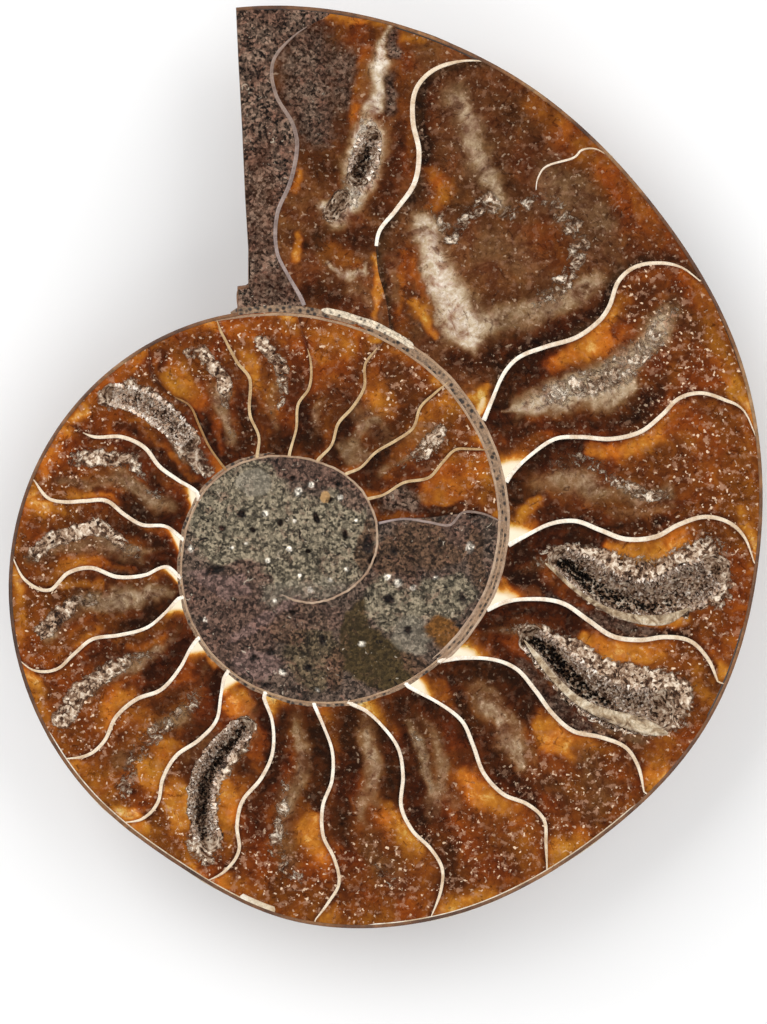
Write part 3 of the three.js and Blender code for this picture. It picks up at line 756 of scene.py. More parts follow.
# Bands of colour in the photograph, as brush lines: colour, strength, and places with half widths
bands = {
    1: [
        ("brown", 0.8, [(330, 24, 12), (370, 32, 14), (400, 46, 14)]),
        ("orange", 0.7, [(325, 17, 4), (370, 22, 4), (420, 42, 5)]),
        ("slate", 0.95, [(306, 50, 28), (308, 90, 32), (312, 124, 22)]),
        ("slate", 0.7, [(344, 60, 12), (346, 100, 12)]),
        ("umber", 0.6, [(350, 120, 12), (345, 150, 8)]),
        ("umber", 0.7, [(310, 150, 10), (330, 170, 12), (350, 190, 8)]),
        ("amber", 0.9, [(364, 50, 8), (363, 83, 8), (358, 118, 8)]),
        ("olive", 0.6, [(368, 60, 7), (366, 100, 7)]),
        ("cloud", 1.0, [(387, 26, 4), (382, 44, 8), (380, 62, 9), (377, 88, 7), (374, 112, 8)]),
        ("white", 0.5, [(386, 36, 4), (382, 62, 5)]),
        ("slate", 0.95, [(392, 34, 7), (394, 52, 6)]),
        ("slate", 0.8, [(388, 78, 8), (388, 110, 8)]),
        ("brown", 0.9, [(406, 56, 7), (402, 90, 8), (404, 130, 8), (402, 170, 10)]),
        ("umber", 0.8, [(396, 130, 7), (394, 170, 10), (380, 210, 12)]),
        ("cloud", 1.0, [(366, 132, 13), (368, 150, 18), (358, 180, 17), (348, 198, 11)]),
        ("white", 0.4, [(366, 132, 12), (368, 150, 16), (358, 180, 15)]),
        ("cloud", 0.95, [(326, 208, 9), (340, 214, 15), (352, 206, 9)]),
        ("umber", 0.8, [(300, 240, 12), (340, 240, 14), (372, 240, 10)]),
        ("umber", 0.9, [(312, 290, 14), (345, 300, 16)]),
        ("orange", 0.8, [(292, 192, 5), (302, 172, 5)]),
        ("orange", 0.9, [(296, 232, 5), (298, 262, 6)]),
        ("amber", 0.7, [(334, 252, 12), (356, 262, 8)]),
        ("cloud", 0.8, [(330, 266, 3), (346, 276, 5), (362, 272, 5), (366, 262, 3)]),
        ("olive", 0.8, [(352, 290, 9), (366, 300, 8)]),
        ("gold", 0.75, [(378, 256, 4), (380, 290, 5), (376, 316, 4)]),
        ("amber", 0.9, [(388, 262, 4), (392, 300, 5)]),
    ],
    2: [
        ("brown", 0.8, [(560, 110, 50), (640, 190, 50), (660, 235, 40)]),
        ("plum", 0.8, [(500, 110, 26), (540, 150, 24)]),
        ("orange", 0.35, [(530, 105, 12), (600, 160, 16), (655, 225, 12)]),
        ("lavender", 0.35, [(560, 210, 30), (600, 240, 24)]),
        ("umber", 0.85, [(428, 84, 8), (424, 120, 9), (428, 165, 8)]),
        ("lavender", 0.85, [(456, 96, 15), (470, 127, 17), (483, 170, 16), (500, 200, 12)]),
        ("cloud", 0.5, [(458, 100, 9), (472, 130, 11), (484, 170, 10), (498, 200, 8)]),
        ("orange", 0.7, [(428, 168, 9), (442, 190, 12), (432, 206, 8)]),
        ("lavender", 0.6, [(545, 176, 16), (580, 190, 20), (605, 222, 14)]),
        ("bronze", 0.95, [(478, 262, 36), (520, 258, 40), (548, 252, 30)]),
        ("lavender", 0.35, [(490, 250, 24), (530, 262, 24)]),
        ("brown", 0.6, [(548, 244, 22), (565, 268, 14)]),
        ("olive", 0.7, [(422, 230, 18), (430, 270, 28), (450, 310, 32), (470, 345, 28)]),
        ("cloud", 0.85, [
            (424, 220, 9), (430, 250, 18), (440, 280, 22), (454, 308, 24), (470, 334, 25), (474, 352, 15),
        ]),
        ("white", 0.3, [(434, 256, 10), (444, 286, 13), (460, 320, 15), (468, 342, 12)]),
        ("cloud", 0.6, [(487, 325, 12), (530, 308, 12), (570, 296, 12), (596, 280, 8)]),
        ("lavender", 0.7, [(500, 326, 8), (560, 306, 9)]),
        ("umber", 0.95, [(452, 362, 10), (500, 356, 12), (560, 330, 10), (600, 308, 8), (614, 285, 5)]),
        ("gold", 0.8, [(466, 400, 7), (478, 398, 9), (488, 386, 6)]),
        ("cream", 0.9, [(476, 420, 5), (486, 402, 6)]),
        ("brown", 0.8, [(408, 250, 10), (398, 290, 10), (402, 330, 10)]),
        ("orange", 0.5, [(410, 262, 5), (428, 318, 5)]),
        ("gold", 0.75, [(410, 300, 4), (422, 318, 6), (436, 336, 4)]),
        ("olive", 0.8, [(396, 262, 6), (394, 300, 6)]),
        ("amber", 0.7, [(400, 250, 3), (399, 290, 3), (402, 320, 3)]),
    ],
    3: [
        ("brown", 0.9, [(650, 300, 30), (680, 340, 30), (700, 370, 24)]),
        ("amber", 0.7, [(712, 330, 9), (728, 372, 9)]),
        ("umber", 0.95, [(498, 418, 12), (508, 392, 11), (530, 372, 8), (560, 356, 6)]),
        ("orange", 0.85, [(556, 362, 9), (590, 346, 12), (606, 322, 7)]),
        ("umber", 0.5, [(640, 300, 12), (622, 330, 8)]),
        ("lavender", 0.9, [(520, 404, 11), (560, 392, 16), (612, 374, 17), (648, 344, 15), (672, 312, 14)]),
        ("cloud", 0.75, [(500, 414, 2), (524, 408, 7), (550, 402, 12), (600, 398, 13), (636, 388, 8)]),
        ("cloud", 0.6, [(560, 390, 14), (620, 372, 17), (655, 335, 14), (672, 308, 9)]),
        ("umber", 0.9, [(510, 432, 7), (550, 424, 7), (600, 424, 7), (640, 412, 7), (664, 392, 6)]),
        ("plum", 0.6, [(676, 300, 12), (690, 330, 12)]),
    ],
    4: [
        ("brown", 0.9, [(600, 480, 40), (700, 460, 40)]),
        ("amber", 0.4, [(690, 420, 18), (720, 470, 20)]),
        ("umber", 0.95, [(518, 480, 9), (534, 460, 9), (560, 449, 8), (592, 449, 6)]),
        ("umber", 0.8, [(520, 500, 10), (560, 516, 10), (600, 520, 7)]),
        ("orange", 0.9, [(592, 450, 7), (624, 450, 9), (656, 436, 8)]),
        ("olive", 1.0, [(540, 482, 14), (580, 484, 19), (600, 494, 14)]),
        ("cloud", 0.35, [(556, 478, 8), (584, 480, 12), (600, 490, 8)]),
        ("lavender", 0.5, [(566, 474, 12), (590, 486, 14)]),
        ("plum", 0.5, [(560, 462, 8), (600, 466, 8)]),
        ("lavender", 0.8, [(620, 492, 9), (642, 498, 10), (668, 490, 7)]),
        ("olive", 0.8, [(618, 514, 7), (645, 514, 8), (668, 504, 6)]),
        ("umber", 0.8, [(600, 528, 6), (645, 530, 6), (672, 520, 5)]),
        ("gold", 0.7, [(520, 516, 6), (536, 506, 6)]),
    ],
    5: [
        ("umber", 0.95, [(506, 566, 12), (540, 545, 9), (580, 536, 8), (612, 546, 7)]),
        ("black", 0.7, [(508, 572, 9), (530, 580, 10)]),
        ("orange", 0.95, [(606, 546, 7), (636, 556, 9), (664, 552, 9), (682, 540, 6)]),
        ("umber", 0.9, [(540, 590, 10), (580, 620, 9), (630, 634, 8), (690, 634, 7)]),
        ("slate", 0.6, [(550, 598, 8), (600, 622, 8), (650, 632, 6)]),
        ("brown", 0.8, [(735, 560, 10), (742, 600, 12), (734, 650, 14)]),
        ("amber", 0.6, [(744, 610, 8), (736, 650, 8)]),
        ("olive", 0.8, [(520, 590, 7), (550, 606, 6)]),
        ("gold", 0.6, [(502, 582, 5), (512, 594, 5)]),
        ("brown", 0.8, [(700, 532, 8), (728, 542, 7)]),
        ("gold", 0.6, [(640, 624, 4), (684, 620, 6)]),
    ],
    6: [
        ("umber", 0.95, [(486, 624, 9), (520, 611, 7), (560, 614, 7), (584, 630, 6)]),
        ("umber", 0.9, [(500, 650, 10), (536, 690, 10), (580, 728, 9), (620, 742, 8)]),
        ("orange", 0.95, [(588, 636, 7), (616, 652, 9), (644, 656, 8)]),
        ("brown", 0.8, [(688, 660, 12), (704, 690, 14), (690, 730, 14)]),
        ("orange", 0.5, [(694, 668, 8), (704, 700, 8)]),
        ("cloud", 0.55, [(534, 652, 5), (560, 686, 6), (590, 712, 6)]),
        ("lavender", 0.8, [(600, 724, 7), (640, 738, 8), (662, 728, 8)]),
        ("slate", 0.5, [(520, 664, 7), (560, 712, 8), (600, 736, 7)]),
        ("amber", 0.7, [(650, 770, 9), (672, 740, 9)]),
    ],
    7: [
        ("brown", 0.8, [(600, 790, 44), (570, 830, 34)]),
        ("umber", 0.95, [(452, 676, 8), (486, 670, 8), (518, 700, 9), (534, 722, 8)]),
        ("umber", 0.9, [(462, 700, 10), (484, 742, 11), (508, 782, 11), (534, 798, 8)]),
        ("amber", 0.85, [(440, 680, 6), (448, 698, 6)]),
        ("olive", 0.95, [(476, 684, 9), (494, 714, 14), (508, 742, 14), (518, 766, 9)]),
        ("cloud", 0.5, [(480, 690, 4), (496, 716, 8), (508, 742, 9), (516, 764, 6)]),
        ("orange", 0.95, [(542, 724, 9), (556, 744, 12), (572, 752, 8)]),
        ("lavender", 0.4, [(582, 750, 12), (600, 790, 16), (590, 820, 12)]),
        ("orange", 0.85, [(556, 850, 12), (580, 838, 10)]),
        ("plum", 0.7, [(548, 782, 9), (566, 800, 9)]),
        ("brown", 0.7, [(620, 770, 10), (632, 800, 10)]),
    ],
    8: [
        ("umber", 1.0, [(400, 700, 10), (412, 730, 16), (416, 770, 14), (420, 810, 12), (424, 850, 9)]),
        ("brown", 0.75, [(444, 716, 12), (456, 750, 12), (470, 780, 8)]),
        ("umber", 0.7, [(430, 700, 8), (452, 726, 7)]),
        ("lavender", 0.7, [(410, 722, 6), (422, 750, 8), (434, 786, 9), (434, 812, 8)]),
        ("cloud", 0.4, [(414, 732, 4), (426, 760, 6), (434, 790, 5)]),
        ("orange", 0.95, [(462, 776, 9), (482, 796, 11), (500, 806, 7)]),
        ("brown", 0.85, [(480, 840, 30), (500, 870, 26)]),
        ("amber", 0.5, [(520, 826, 12), (530, 860, 12)]),
        ("orange", 0.9, [(448, 908, 8), (470, 902, 10), (490, 896, 7)]),
        ("umber", 0.6, [(448, 850, 12), (452, 880, 8)]),
    ],
    9: [
        ("umber", 0.95, [(350, 712, 8), (350, 760, 9), (344, 810, 8), (348, 850, 7)]),
        ("umber", 0.95, [(388, 730, 9), (394, 776, 9), (398, 806, 7)]),
        ("olive", 0.9, [(364, 720, 8), (370, 750, 11), (374, 780, 10), (372, 800, 7)]),
        ("cloud", 0.45, [(366, 730, 4), (370, 752, 7), (374, 782, 6)]),
        ("orange", 0.95, [(392, 812, 7), (404, 832, 10), (418, 846, 7)]),
        ("brown", 0.8, [(370, 850, 26), (400, 890, 30)]),
        ("lavender", 0.4, [(370, 846, 12), (386, 872, 16), (400, 888, 10)]),
        ("amber", 0.5, [(424, 880, 10), (410, 905, 10)]),
    ],
    10: [
        ("umber", 0.95, [(318, 716, 8), (322, 750, 8), (314, 800, 7)]),
        ("umber", 0.9, [(282, 716, 8), (276, 760, 8), (262, 790, 7)]),
        ("olive", 0.85, [(298, 722, 8), (302, 752, 10), (296, 776, 8)]),
        ("cloud", 0.4, [(298, 726, 4), (301, 752, 6), (296, 774, 5)]),
        ("orange", 0.9, [(316, 812, 6), (312, 838, 9), (322, 858, 6)]),
        ("lavender", 0.45, [(290, 790, 10), (284, 830, 11), (290, 864, 9)]),
        ("brown", 0.8, [(258, 850, 10), (262, 890, 12), (300, 900, 14)]),
        ("amber", 0.5, [(232, 884, 8), (262, 900, 8)]),
    ],
    13: [
        ("umber", 0.9, [(190, 650, 6), (172, 660, 8), (146, 672, 7)]),
        ("brown", 0.7, [(90, 670, 12), (60, 690, 12)]),
        ("orange", 0.6, [(40, 700, 8), (50, 730, 8)]),
        ("lavender", 0.6, [(150, 652, 7), (118, 668, 9), (84, 696, 10)]),
        ("amber", 0.6, [(130, 646, 6), (160, 640, 5)]),
        ("gold", 0.8, [(70, 768, 5), (90, 764, 5)]),
    ],
    14: [
        ("white", 0.8, [(47, 632, 8), (49, 634, 8)]),
        ("black", 0.9, [(47, 632, 4), (49, 634, 4)]),
        ("umber", 0.8, [(178, 592, 6), (160, 606, 6), (130, 618, 6)]),
        ("brown", 0.9, [(60, 655, 8), (100, 620, 8), (140, 612, 5)]),
        ("lavender", 0.95, [(172, 592, 6), (148, 595, 11), (116, 599, 12), (90, 600, 9)]),
        ("cloud", 0.35, [(150, 593, 5), (112, 600, 6)]),
        ("lavender", 0.6, [(78, 606, 10), (56, 620, 11), (46, 640, 9)]),
        ("orange", 0.6, [(22, 600, 6), (20, 630, 7)]),
        ("gold", 0.5, [(60, 582, 5), (100, 584, 5)]),
    ],
    15: [
        ("umber", 0.8, [(176, 560, 7), (150, 540, 7), (120, 520, 6)]),
        ("brown", 0.8, [(60, 520, 7), (100, 512, 6)]),
        ("lavender", 0.7, [(30, 556, 7), (60, 548, 9), (100, 545, 10), (140, 558, 8)]),
        ("orange", 0.8, [(28, 506, 6), (46, 508, 7), (60, 514, 4)]),
        ("gold", 0.6, [(30, 500, 5), (48, 508, 5)]),
        ("amber", 0.6, [(90, 562, 5), (130, 570, 4)]),
        ("plum", 0.5, [(22, 540, 6), (20, 560, 6)]),
    ],
    16: [
        ("umber", 0.8, [(186, 520, 6), (164, 500, 7), (150, 478, 6)]),
        ("orange", 0.7, [(46, 470, 8), (56, 446, 7)]),
        ("brown", 0.8, [(80, 442, 6), (120, 445, 6)]),
        ("lavender", 0.7, [(62, 482, 7), (90, 484, 8), (126, 484, 8), (146, 498, 8), (168, 508, 7)]),
        ("umber", 0.6, [(100, 492, 4), (128, 500, 5)]),
    ],
    17: [
        ("umber", 0.8, [(120, 424, 7), (150, 440, 8), (176, 464, 7)]),
        ("slate", 0.5, [(150, 400, 10), (180, 432, 11), (200, 462, 8)]),
        ("amber", 0.7, [(120, 372, 8), (90, 400, 8)]),
        ("gold", 0.8, [(72, 420, 6), (82, 414, 6)]),
        ("brown", 0.6, [(150, 370, 9), (172, 402, 6), (196, 440, 5)]),
        ("amber", 0.7, [(140, 432, 4), (176, 456, 4), (192, 478, 4)]),
    ],
    18: [
        ("white", 0.9, [(223, 390, 7), (225, 392, 7)]),
        ("black", 1.0, [(223, 390, 3.4), (225, 391, 3.4)]),
        ("amber", 0.9, [(172, 366, 12), (186, 384, 12), (200, 400, 10)]),
        ("orange", 0.5, [(176, 374, 9), (192, 392, 8)]),
        ("umber", 0.8, [(160, 352, 5), (162, 366, 4)]),
        ("brown", 0.8, [(200, 336, 10), (226, 350, 8), (240, 380, 7)]),
        ("umber", 0.85, [(244, 410, 7), (250, 440, 7), (240, 462, 7)]),
        ("lavender", 0.7, [(224, 400, 6), (229, 420, 6), (236, 440, 6)]),
        ("amber", 0.6, [(214, 420, 5), (224, 446, 5)]),
    ],
}


def along_line(x, y, stations):
    """Nearest place on a line of stations: distance, and the values there beside the place."""
    best = (1e9, None)
    for left, right in zip(stations, stations[1:]):
        run = (right[0] - left[0], right[1] - left[1])
        length = run[0] ** 2 + run[1] ** 2
        s = min(max(((x - left[0]) * run[0] + (y - left[1]) * run[1]) / length, 0), 1)
        gap = math.hypot(x - left[0] - s * run[0], y - left[1] - s * run[1])
        if gap < best[0]:
            best = (gap, [a + (b - a) * s for a, b in zip(left[2:], right[2:])])
    return best


def hollow_lines(index):
    """Smooth stations of the hollows in a chamber, in metres."""
    found = [stations for chamber, stations in hollows.values() if chamber == index]
    if index == small_hollow[0]:
        found.append(small_hollow[1])
    return [[tuple(v * mm for v in station) for station in through(stations, 4)] for stations in found]


def calcite_material():
    """Polished calcite: brown to cream by its tone, mottled and darkly flecked, with painted glints of pale
    flecks and pinkish streaks, milky by its haze, grainy where it is siltstone, and small rough crystals
    along its open seams."""
    made, tree, shader = new_material("chamber_calcite")
    tone, haze, silt, seam, glint = (add_node(tree, "Attribute", attribute_name=name).outputs["Fac"]
                                     for name in ("tone", "haze", "silt", "seam", "glint"))
    large = noise_of(tree, 2.4 * mm, 6, 0.62, 0.8)
    middle = noise_of(tree, 0.8 * mm, 6, 0.7, 0.5)
    swing = worked(tree, "ADD", worked(tree, "MULTIPLY", worked(tree, "SUBTRACT", large, 0.5), 0.55),
                   worked(tree, "MULTIPLY", worked(tree, "SUBTRACT", middle, 0.5), 0.34))
    calm = ramp(tree, tone, [(0.82, grey(1)), (0.94, grey(0.04))])
    shifted = worked(tree, "ADD", tone, worked(tree, "MULTIPLY", swing, calm))
    colour = ramp(tree, shifted, [
        (0.0, (0.006, 0.0025, 0.0015)), (0.17, (0.022, 0.006, 0.002)), (0.36, (0.08, 0.018, 0.004)),
        (0.5, (0.165, 0.041, 0.006)), (0.64, (0.28, 0.082, 0.009)), (0.78, (0.45, 0.155, 0.017)),
        (0.88, (0.66, 0.38, 0.11)), (1.0, (0.86, 0.75, 0.56))])
    hue = ramp(tree, noise_of(tree, 6 * mm, 3, 0.55, 0.5), [
        (0.36, (0.92, 1.04, 0.95)), (0.5, grey(1)), (0.64, (1.12, 0.9, 0.8))])
    colour = mixed(tree, calm, colour, mixed(tree, 1.0, colour, hue, "MULTIPLY"))
    milky = worked(tree, "ADD", worked(tree, "MULTIPLY", haze, 0.75),
                   worked(tree, "MULTIPLY", worked(tree, "SUBTRACT", middle, 0.5), 0.75))
    milk = ramp(tree, milky, [
        (0.08, (0.1, 0.054, 0.018)), (0.32, (0.25, 0.162, 0.078)), (0.52, (0.5, 0.385, 0.25)),
        (0.74, (0.82, 0.74, 0.63))])
    torn = ramp(tree, large, [(0.36, grey(0.25)), (0.56, grey(1.2))])
    wisps = worked(tree, "MULTIPLY", haze, torn, clamp=True)
    colour = mixed(tree, wisps, colour, milk)
    dark_fleck = ramp(tree, noise_of(tree, 1.1 * mm, 4, 0.7, 1.2), [(0.36, grey(0.7)), (0.42, grey(0))])
    dark_fleck = worked(tree, "MULTIPLY", dark_fleck, calm)
    colour = mixed(tree, dark_fleck, colour, mixed(tree, 1.0, colour, (0.3, 0.22, 0.2), "MULTIPLY"))
    # Painted glints: pinkish streaks and pale sparkling flecks in patches, where the glint value is high.
    patches = ramp(tree, noise_of(tree, 5 * mm, 3, 0.6), [(0.36, grey(0.25)), (0.54, grey(1))])
    glint = worked(tree, "MULTIPLY", glint, patches)
    streak = ramp(tree, noise_of(tree, 1.0 * mm, 4, 0.66), [(0.54, grey(0)), (0.61, grey(0.7))])
    colour = mixed(tree, worked(tree, "MULTIPLY", streak, glint), colour, (0.42, 0.23, 0.14))
    spark = ramp(tree, noise_of(tree, 0.55 * mm, 2, 0.5), [(0.635, grey(0)), (0.69, grey(1))])
    colour = mixed(tree, worked(tree, "MULTIPLY", spark, glint), colour, (0.78, 0.56, 0.38))
    breaks = worked(tree, "SUBTRACT", noise_of(tree, 1.5 * mm, 8, 0.85, 0.6), 0.5)
    ragged = worked(tree, "ADD", seam, worked(tree, "MULTIPLY", breaks, 2.1))
    druse = ramp(tree, ragged, [(0.42, grey(0)), (0.58, grey(1))])
    facet = add_node(tree, "SeparateColor")
    tree.links.new(cells_of(tree, 0.4 * mm, "Color"), facet.inputs[0])
    lumps = noise_of(tree, 1.5 * mm, 5, 0.75, 1.0)
    shade = worked(tree, "ADD", worked(tree, "MULTIPLY", facet.outputs[0], 0.5),
                   worked(tree, "MULTIPLY", worked(tree, "SUBTRACT", lumps, 0.36), 1.9))
    druse_colour = ramp(tree, shade, [
        (0.2, (0.022, 0.011, 0.007)), (0.38, (0.15, 0.08, 0.046)), (0.52, (0.4, 0.255, 0.163)),
        (0.68, (0.64, 0.48, 0.345)), (0.84, (0.95, 0.8, 0.63))])
    colour = mixed(tree, druse, colour, druse_colour)
    stone = stone_grain(tree, ramp(tree, noise_of(tree, 3 * mm, 4), [
        (0.42, (0.085, 0.045, 0.03)), (0.58, (0.135, 0.088, 0.062))]))
    colour = mixed(tree, silt, colour, stone)
    tree.links.new(colour, shader.inputs["Base Color"])
    gloss = mixed(tree, druse, ramp(tree, middle, [(0.35, grey(0.12)), (0.65, grey(0.26))]), grey(0.5))
    tree.links.new(mixed(tree, silt, gloss, grey(0.4)), shader.inputs["Roughness"])
    shader.inputs["Specular IOR Level"].default_value = 0.08
    rough = worked(tree, "MULTIPLY", worked(tree, "ADD", druse, 0.04), shade)
    bump(tree, shader, rough, 0.3 * mm, 0.9)
    return made


# Spots that every chamber has in the same places of its own frame: place, half sizes, tone and strength
growth_marks = [
    ((0.1, 0.22), (0.3, 0.26), 0.12, 0.85), ((0.8, 0.5), (0.16, 0.24), 0.2, 0.6),
    ((0.12, 0.6), (0.2, 0.15), 0.74, 0.85), ((0.5, 0.1), (0.3, 0.08), 0.2, 0.6),
    ((0.95, 0.97), (0.2, 0.06), 0.82, 0.8), ((0.3, 0.97), (0.5, 0.04), 0.6, 0.6),
]


def growth_mark(u, v, place, half):
    """Share of a soft spot in a chamber's own frame: u from its younger septum, v from its inner wall."""
    return 1 - smooth(0.4, 1.4, math.hypot((u - place[0]) / half[0], (v - place[1]) / half[1]))


def own_colours(u, v):
    """Tone, haze and glint that every chamber has in the same places, before its own clouds."""
    tone, glint = 0.45, 0.3 + 0.7 * smooth(0.4, 0.7, v)
    for place, half, goal, strength in growth_marks:
        share = strength * growth_mark(u, v, place, half)
        tone += (goal - tone) * share
        glint *= 1 - share * 0.8
    haze = 0.45 * growth_mark(u, v, (0.48, 0.36), (0.12, 0.26))
    return Vector((tone, haze, 0)), glint


def inner_wedge(u, v, share):
    """Share of the cream wedge between a septum's inner end and the spiral wall."""
    inside = (u - 0.5) / 0.5 - v / 0.15
    return share * smooth(-0.22, 0.42, inside)


def on_photo(place):
    """Pixel of the photograph that shows a place on the face."""
    px = (place.x - photo_shift[0]) / photo_pixel + photo_middle[0]
    py = photo_middle[1] - (place.y - photo_shift[1]) / photo_pixel
    return px, py


def spot_distance(x, y, spot):
    """Distance of a pixel from a soft spot's middle, where its edge is at 1."""
    cx, cy, rx, ry, turn = spot
    c, s = math.cos(math.radians(turn)), math.sin(math.radians(turn))
    dx, dy = x - cx, cy - y
    return math.hypot((dx * c + dy * s) / rx, (dy * c - dx * s) / ry)


noise.seed_set(7)


def warps_at(px, py, broad_size, narrow_size):
    """Broad and narrow wavering at a pixel of the photograph, from fixed noise."""
    broad = noise.noise_vector(Vector((px, py, 0)) / broad_size)
    narrow = noise.noise_vector(Vector((px, py, 50)) / narrow_size)
    return broad, narrow


def brushes_of(index):
    """Bands of a chamber, each with the box that its brush can reach."""
    found = []
    for name, strength, line in bands.get(index, []):
        reach = 1.5 * max(half for x, y, half in line)
        xs, ys = [x for x, y, half in line], [y for x, y, half in line]
        box = (min(xs) - reach, max(xs) + reach, min(ys) - reach, max(ys) + reach)
        found.append((Vector(palette[name]), strength, line, box))
    return found


def paint(mesh, index, seam_line, lines):
    """Tone, haze, siltstone, seam and glint at each corner of a filling, and its dips where crystals
    lie open."""
    brushes = brushes_of(index)
    along, across = (mesh.verts.layers.float[name] for name in ("along", "across"))
    tone, haze, silt, seam, glint = (mesh.verts.layers.float.new(name)
                                     for name in ("tone", "haze", "silt", "seam", "glint"))
    for vert in mesh.verts:
        px, py = on_photo(vert.co)
        broad, narrow = warps_at(px, py, 26, 8)
        wx, wy = px + broad.x * 8 + narrow.x * 3.5, py + broad.y * 8 + narrow.y * 3.5
        if index < len(chamber_bases):
            mix, shine = Vector(palette[chamber_bases[index]]), 0.3
        else:
            mix, shine = own_colours(vert[along] + broad.z * 0.12, vert[across] + narrow.z * 0.05)
        for *spot, name, strength in clouds.get(index, []):
            share = 1 - smooth(0.6, 1.25, spot_distance(wx, wy, spot))
            mix = mix.lerp(Vector(palette[name]), strength * share)
        for colour, strength, line, box in brushes:
            if box[0] < wx < box[1] and box[2] < wy < box[3]:
                gap, (half,) = along_line(wx, wy, line)
                mix = mix.lerp(colour, strength * (1 - smooth(0.3, 1.5, gap / half)))
        # Painted shade beside the septa, over the brown calcite that lines them: the tone darkens in a thin
        # margin along both septa of each chamber.
        if index > 1:
            edge = min(vert[along], 1 - vert[along])
            mix.x -= 0.16 * (1 - smooth(0.01, 0.07, edge))
        wedge = inner_wedge(vert[along], vert[across] + narrow.x * 0.006, wedges.get(index, 1))
        mix = mix.lerp(Vector((0.86 + 0.14 * smooth(0.25, 0.75, wedge), 0, 0)), wedge)
        shine *= 1 - wedge
        amount = 0
        if seam_line:
            gap, (half, share) = along_line(wx * 0.4 + px * 0.6, wy * 0.4 + py * 0.6, seam_line)
            amount = share * (1 - smooth(0.4, 1.5, gap / half))
        vert[tone], vert[haze], vert[silt] = mix.x, mix.y, mix.z
        vert[seam] = amount * 0.8
        vert[glint] = shine
        vert.co.z -= max(0, amount - 0.35) * (0.3 + 0.5 * abs(narrow.z)) * 0.5 * mm
        for line in lines:
            gap, (half, deep) = along_line(vert.co.x, vert.co.y, line)
            gap *= 1 + 0.22 * narrow.x
            if gap < half * 1.12:
                vert[seam] = max(vert[seam], 0.95 - max(0, gap / half - 0.98) * 4)
            if gap < half:
                vert.co.z -= deep * math.sqrt(1 - (gap / half) ** 2)


calcite = calcite_material()
filling_top = face_height - 0.03 * mm
filling_depth = 0.7 * mm
for index in range(len(septa) - 1):
    ahead = septum_lines[index]
    behind = septum_lines[index + 1] if index < len(septa) - 2 else septum_lines[-1]
    columns, rows = (72, 170) if index < 7 else (48, 110)

    def place(column, row):
        across = row / rows
        growth = smooth_through(ahead, across) * (1 - column / columns)
        growth += smooth_through(behind, across) * column / columns
        inner, outer = whorl_walls(growth)
        return on_coil(growth, inner + (outer - inner) * across, filling_top)

    filling_mesh = laid_grid(columns, rows, place)
    bmesh.ops.recalc_face_normals(filling_mesh, faces=filling_mesh.faces)
    if sum(face.normal.z for face in filling_mesh.faces) < 0:
        bmesh.ops.reverse_faces(filling_mesh, faces=filling_mesh.faces)
    paint(filling_mesh, index, seams.get(index), hollow_lines(index))
    filling = piece_from(chamber_names[index], filling_mesh, calcite)
    thick = filling.modifiers.new("depth", "SOLIDIFY")
    thick.thickness = filling_depth
    thick.offset = -1
    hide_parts("ammonite_half")

# Core. The first whorls, filled with grey-green and purple-brown siltstone instead of calcite and sawn
# flush with the face. It is a disc of rays and rings that ends at the last septum, painted in patches.
green, purple, dark_olive = (0.165, 0.135, 0.09), (0.094, 0.053, 0.038), (0.05, 0.032, 0.012)
rusty, light_green, clear_amber = (0.075, 0.04, 0.022), (0.2, 0.17, 0.125), (0.14, 0.056, 0.011)
mauve, green_brown = (0.15, 0.092, 0.078), (0.088, 0.062, 0.034)
core_grains = {light_green: 0.4, dark_olive: 0.5, clear_amber: 0.4, mauve: 0.6}
core_patches = [
    (285, 540, 96, 50, -6, green, 0.95), (238, 500, 52, 34, 30, green, 0.9),
    (340, 520, 24, 40, 0, green, 0.8), (254, 482, 20, 14, -10, light_green, 0.95),
    (315, 470, 46, 14, -12, purple, 0.95), (352, 492, 16, 20, 0, purple, 0.8),
    (366, 546, 10, 26, 0, rusty, 0.9), (300, 590, 44, 12, 4, light_green, 0.5),
    (226, 590, 46, 26, 20, purple, 0.9), (236, 640, 50, 34, 30, purple, 0.9),
    (222, 584, 34, 10, -12, mauve, 0.7), (262, 622, 44, 7, 34, mauve, 0.7),
    (258, 664, 26, 15, 10, mauve, 0.75), (312, 650, 24, 46, 0, green_brown, 0.9),
    (290, 625, 20, 18, 0, rusty, 0.7), (316, 616, 30, 12, 0, purple, 0.7),
    (380, 660, 36, 28, -35, dark_olive, 1), (354, 634, 16, 36, -12, dark_olive, 0.95),
    (336, 670, 10, 26, 0, rusty, 0.9), (395, 560, 24, 26, 0, rusty, 0.9),
    (430, 545, 40, 24, -8, rusty, 0.9), (462, 530, 22, 16, 0, purple, 0.8),
    (392, 604, 32, 26, -30, green, 0.95), (440, 598, 34, 22, 4, green, 0.95),
    (412, 634, 18, 20, 10, light_green, 0.7), (442, 634, 20, 17, -40, clear_amber, 0.98),
    (400, 580, 16, 8, 0, purple, 0.7), (478, 560, 10, 34, 8, rusty, 0.8),
    (418, 668, 20, 12, -40, rusty, 0.8),
]
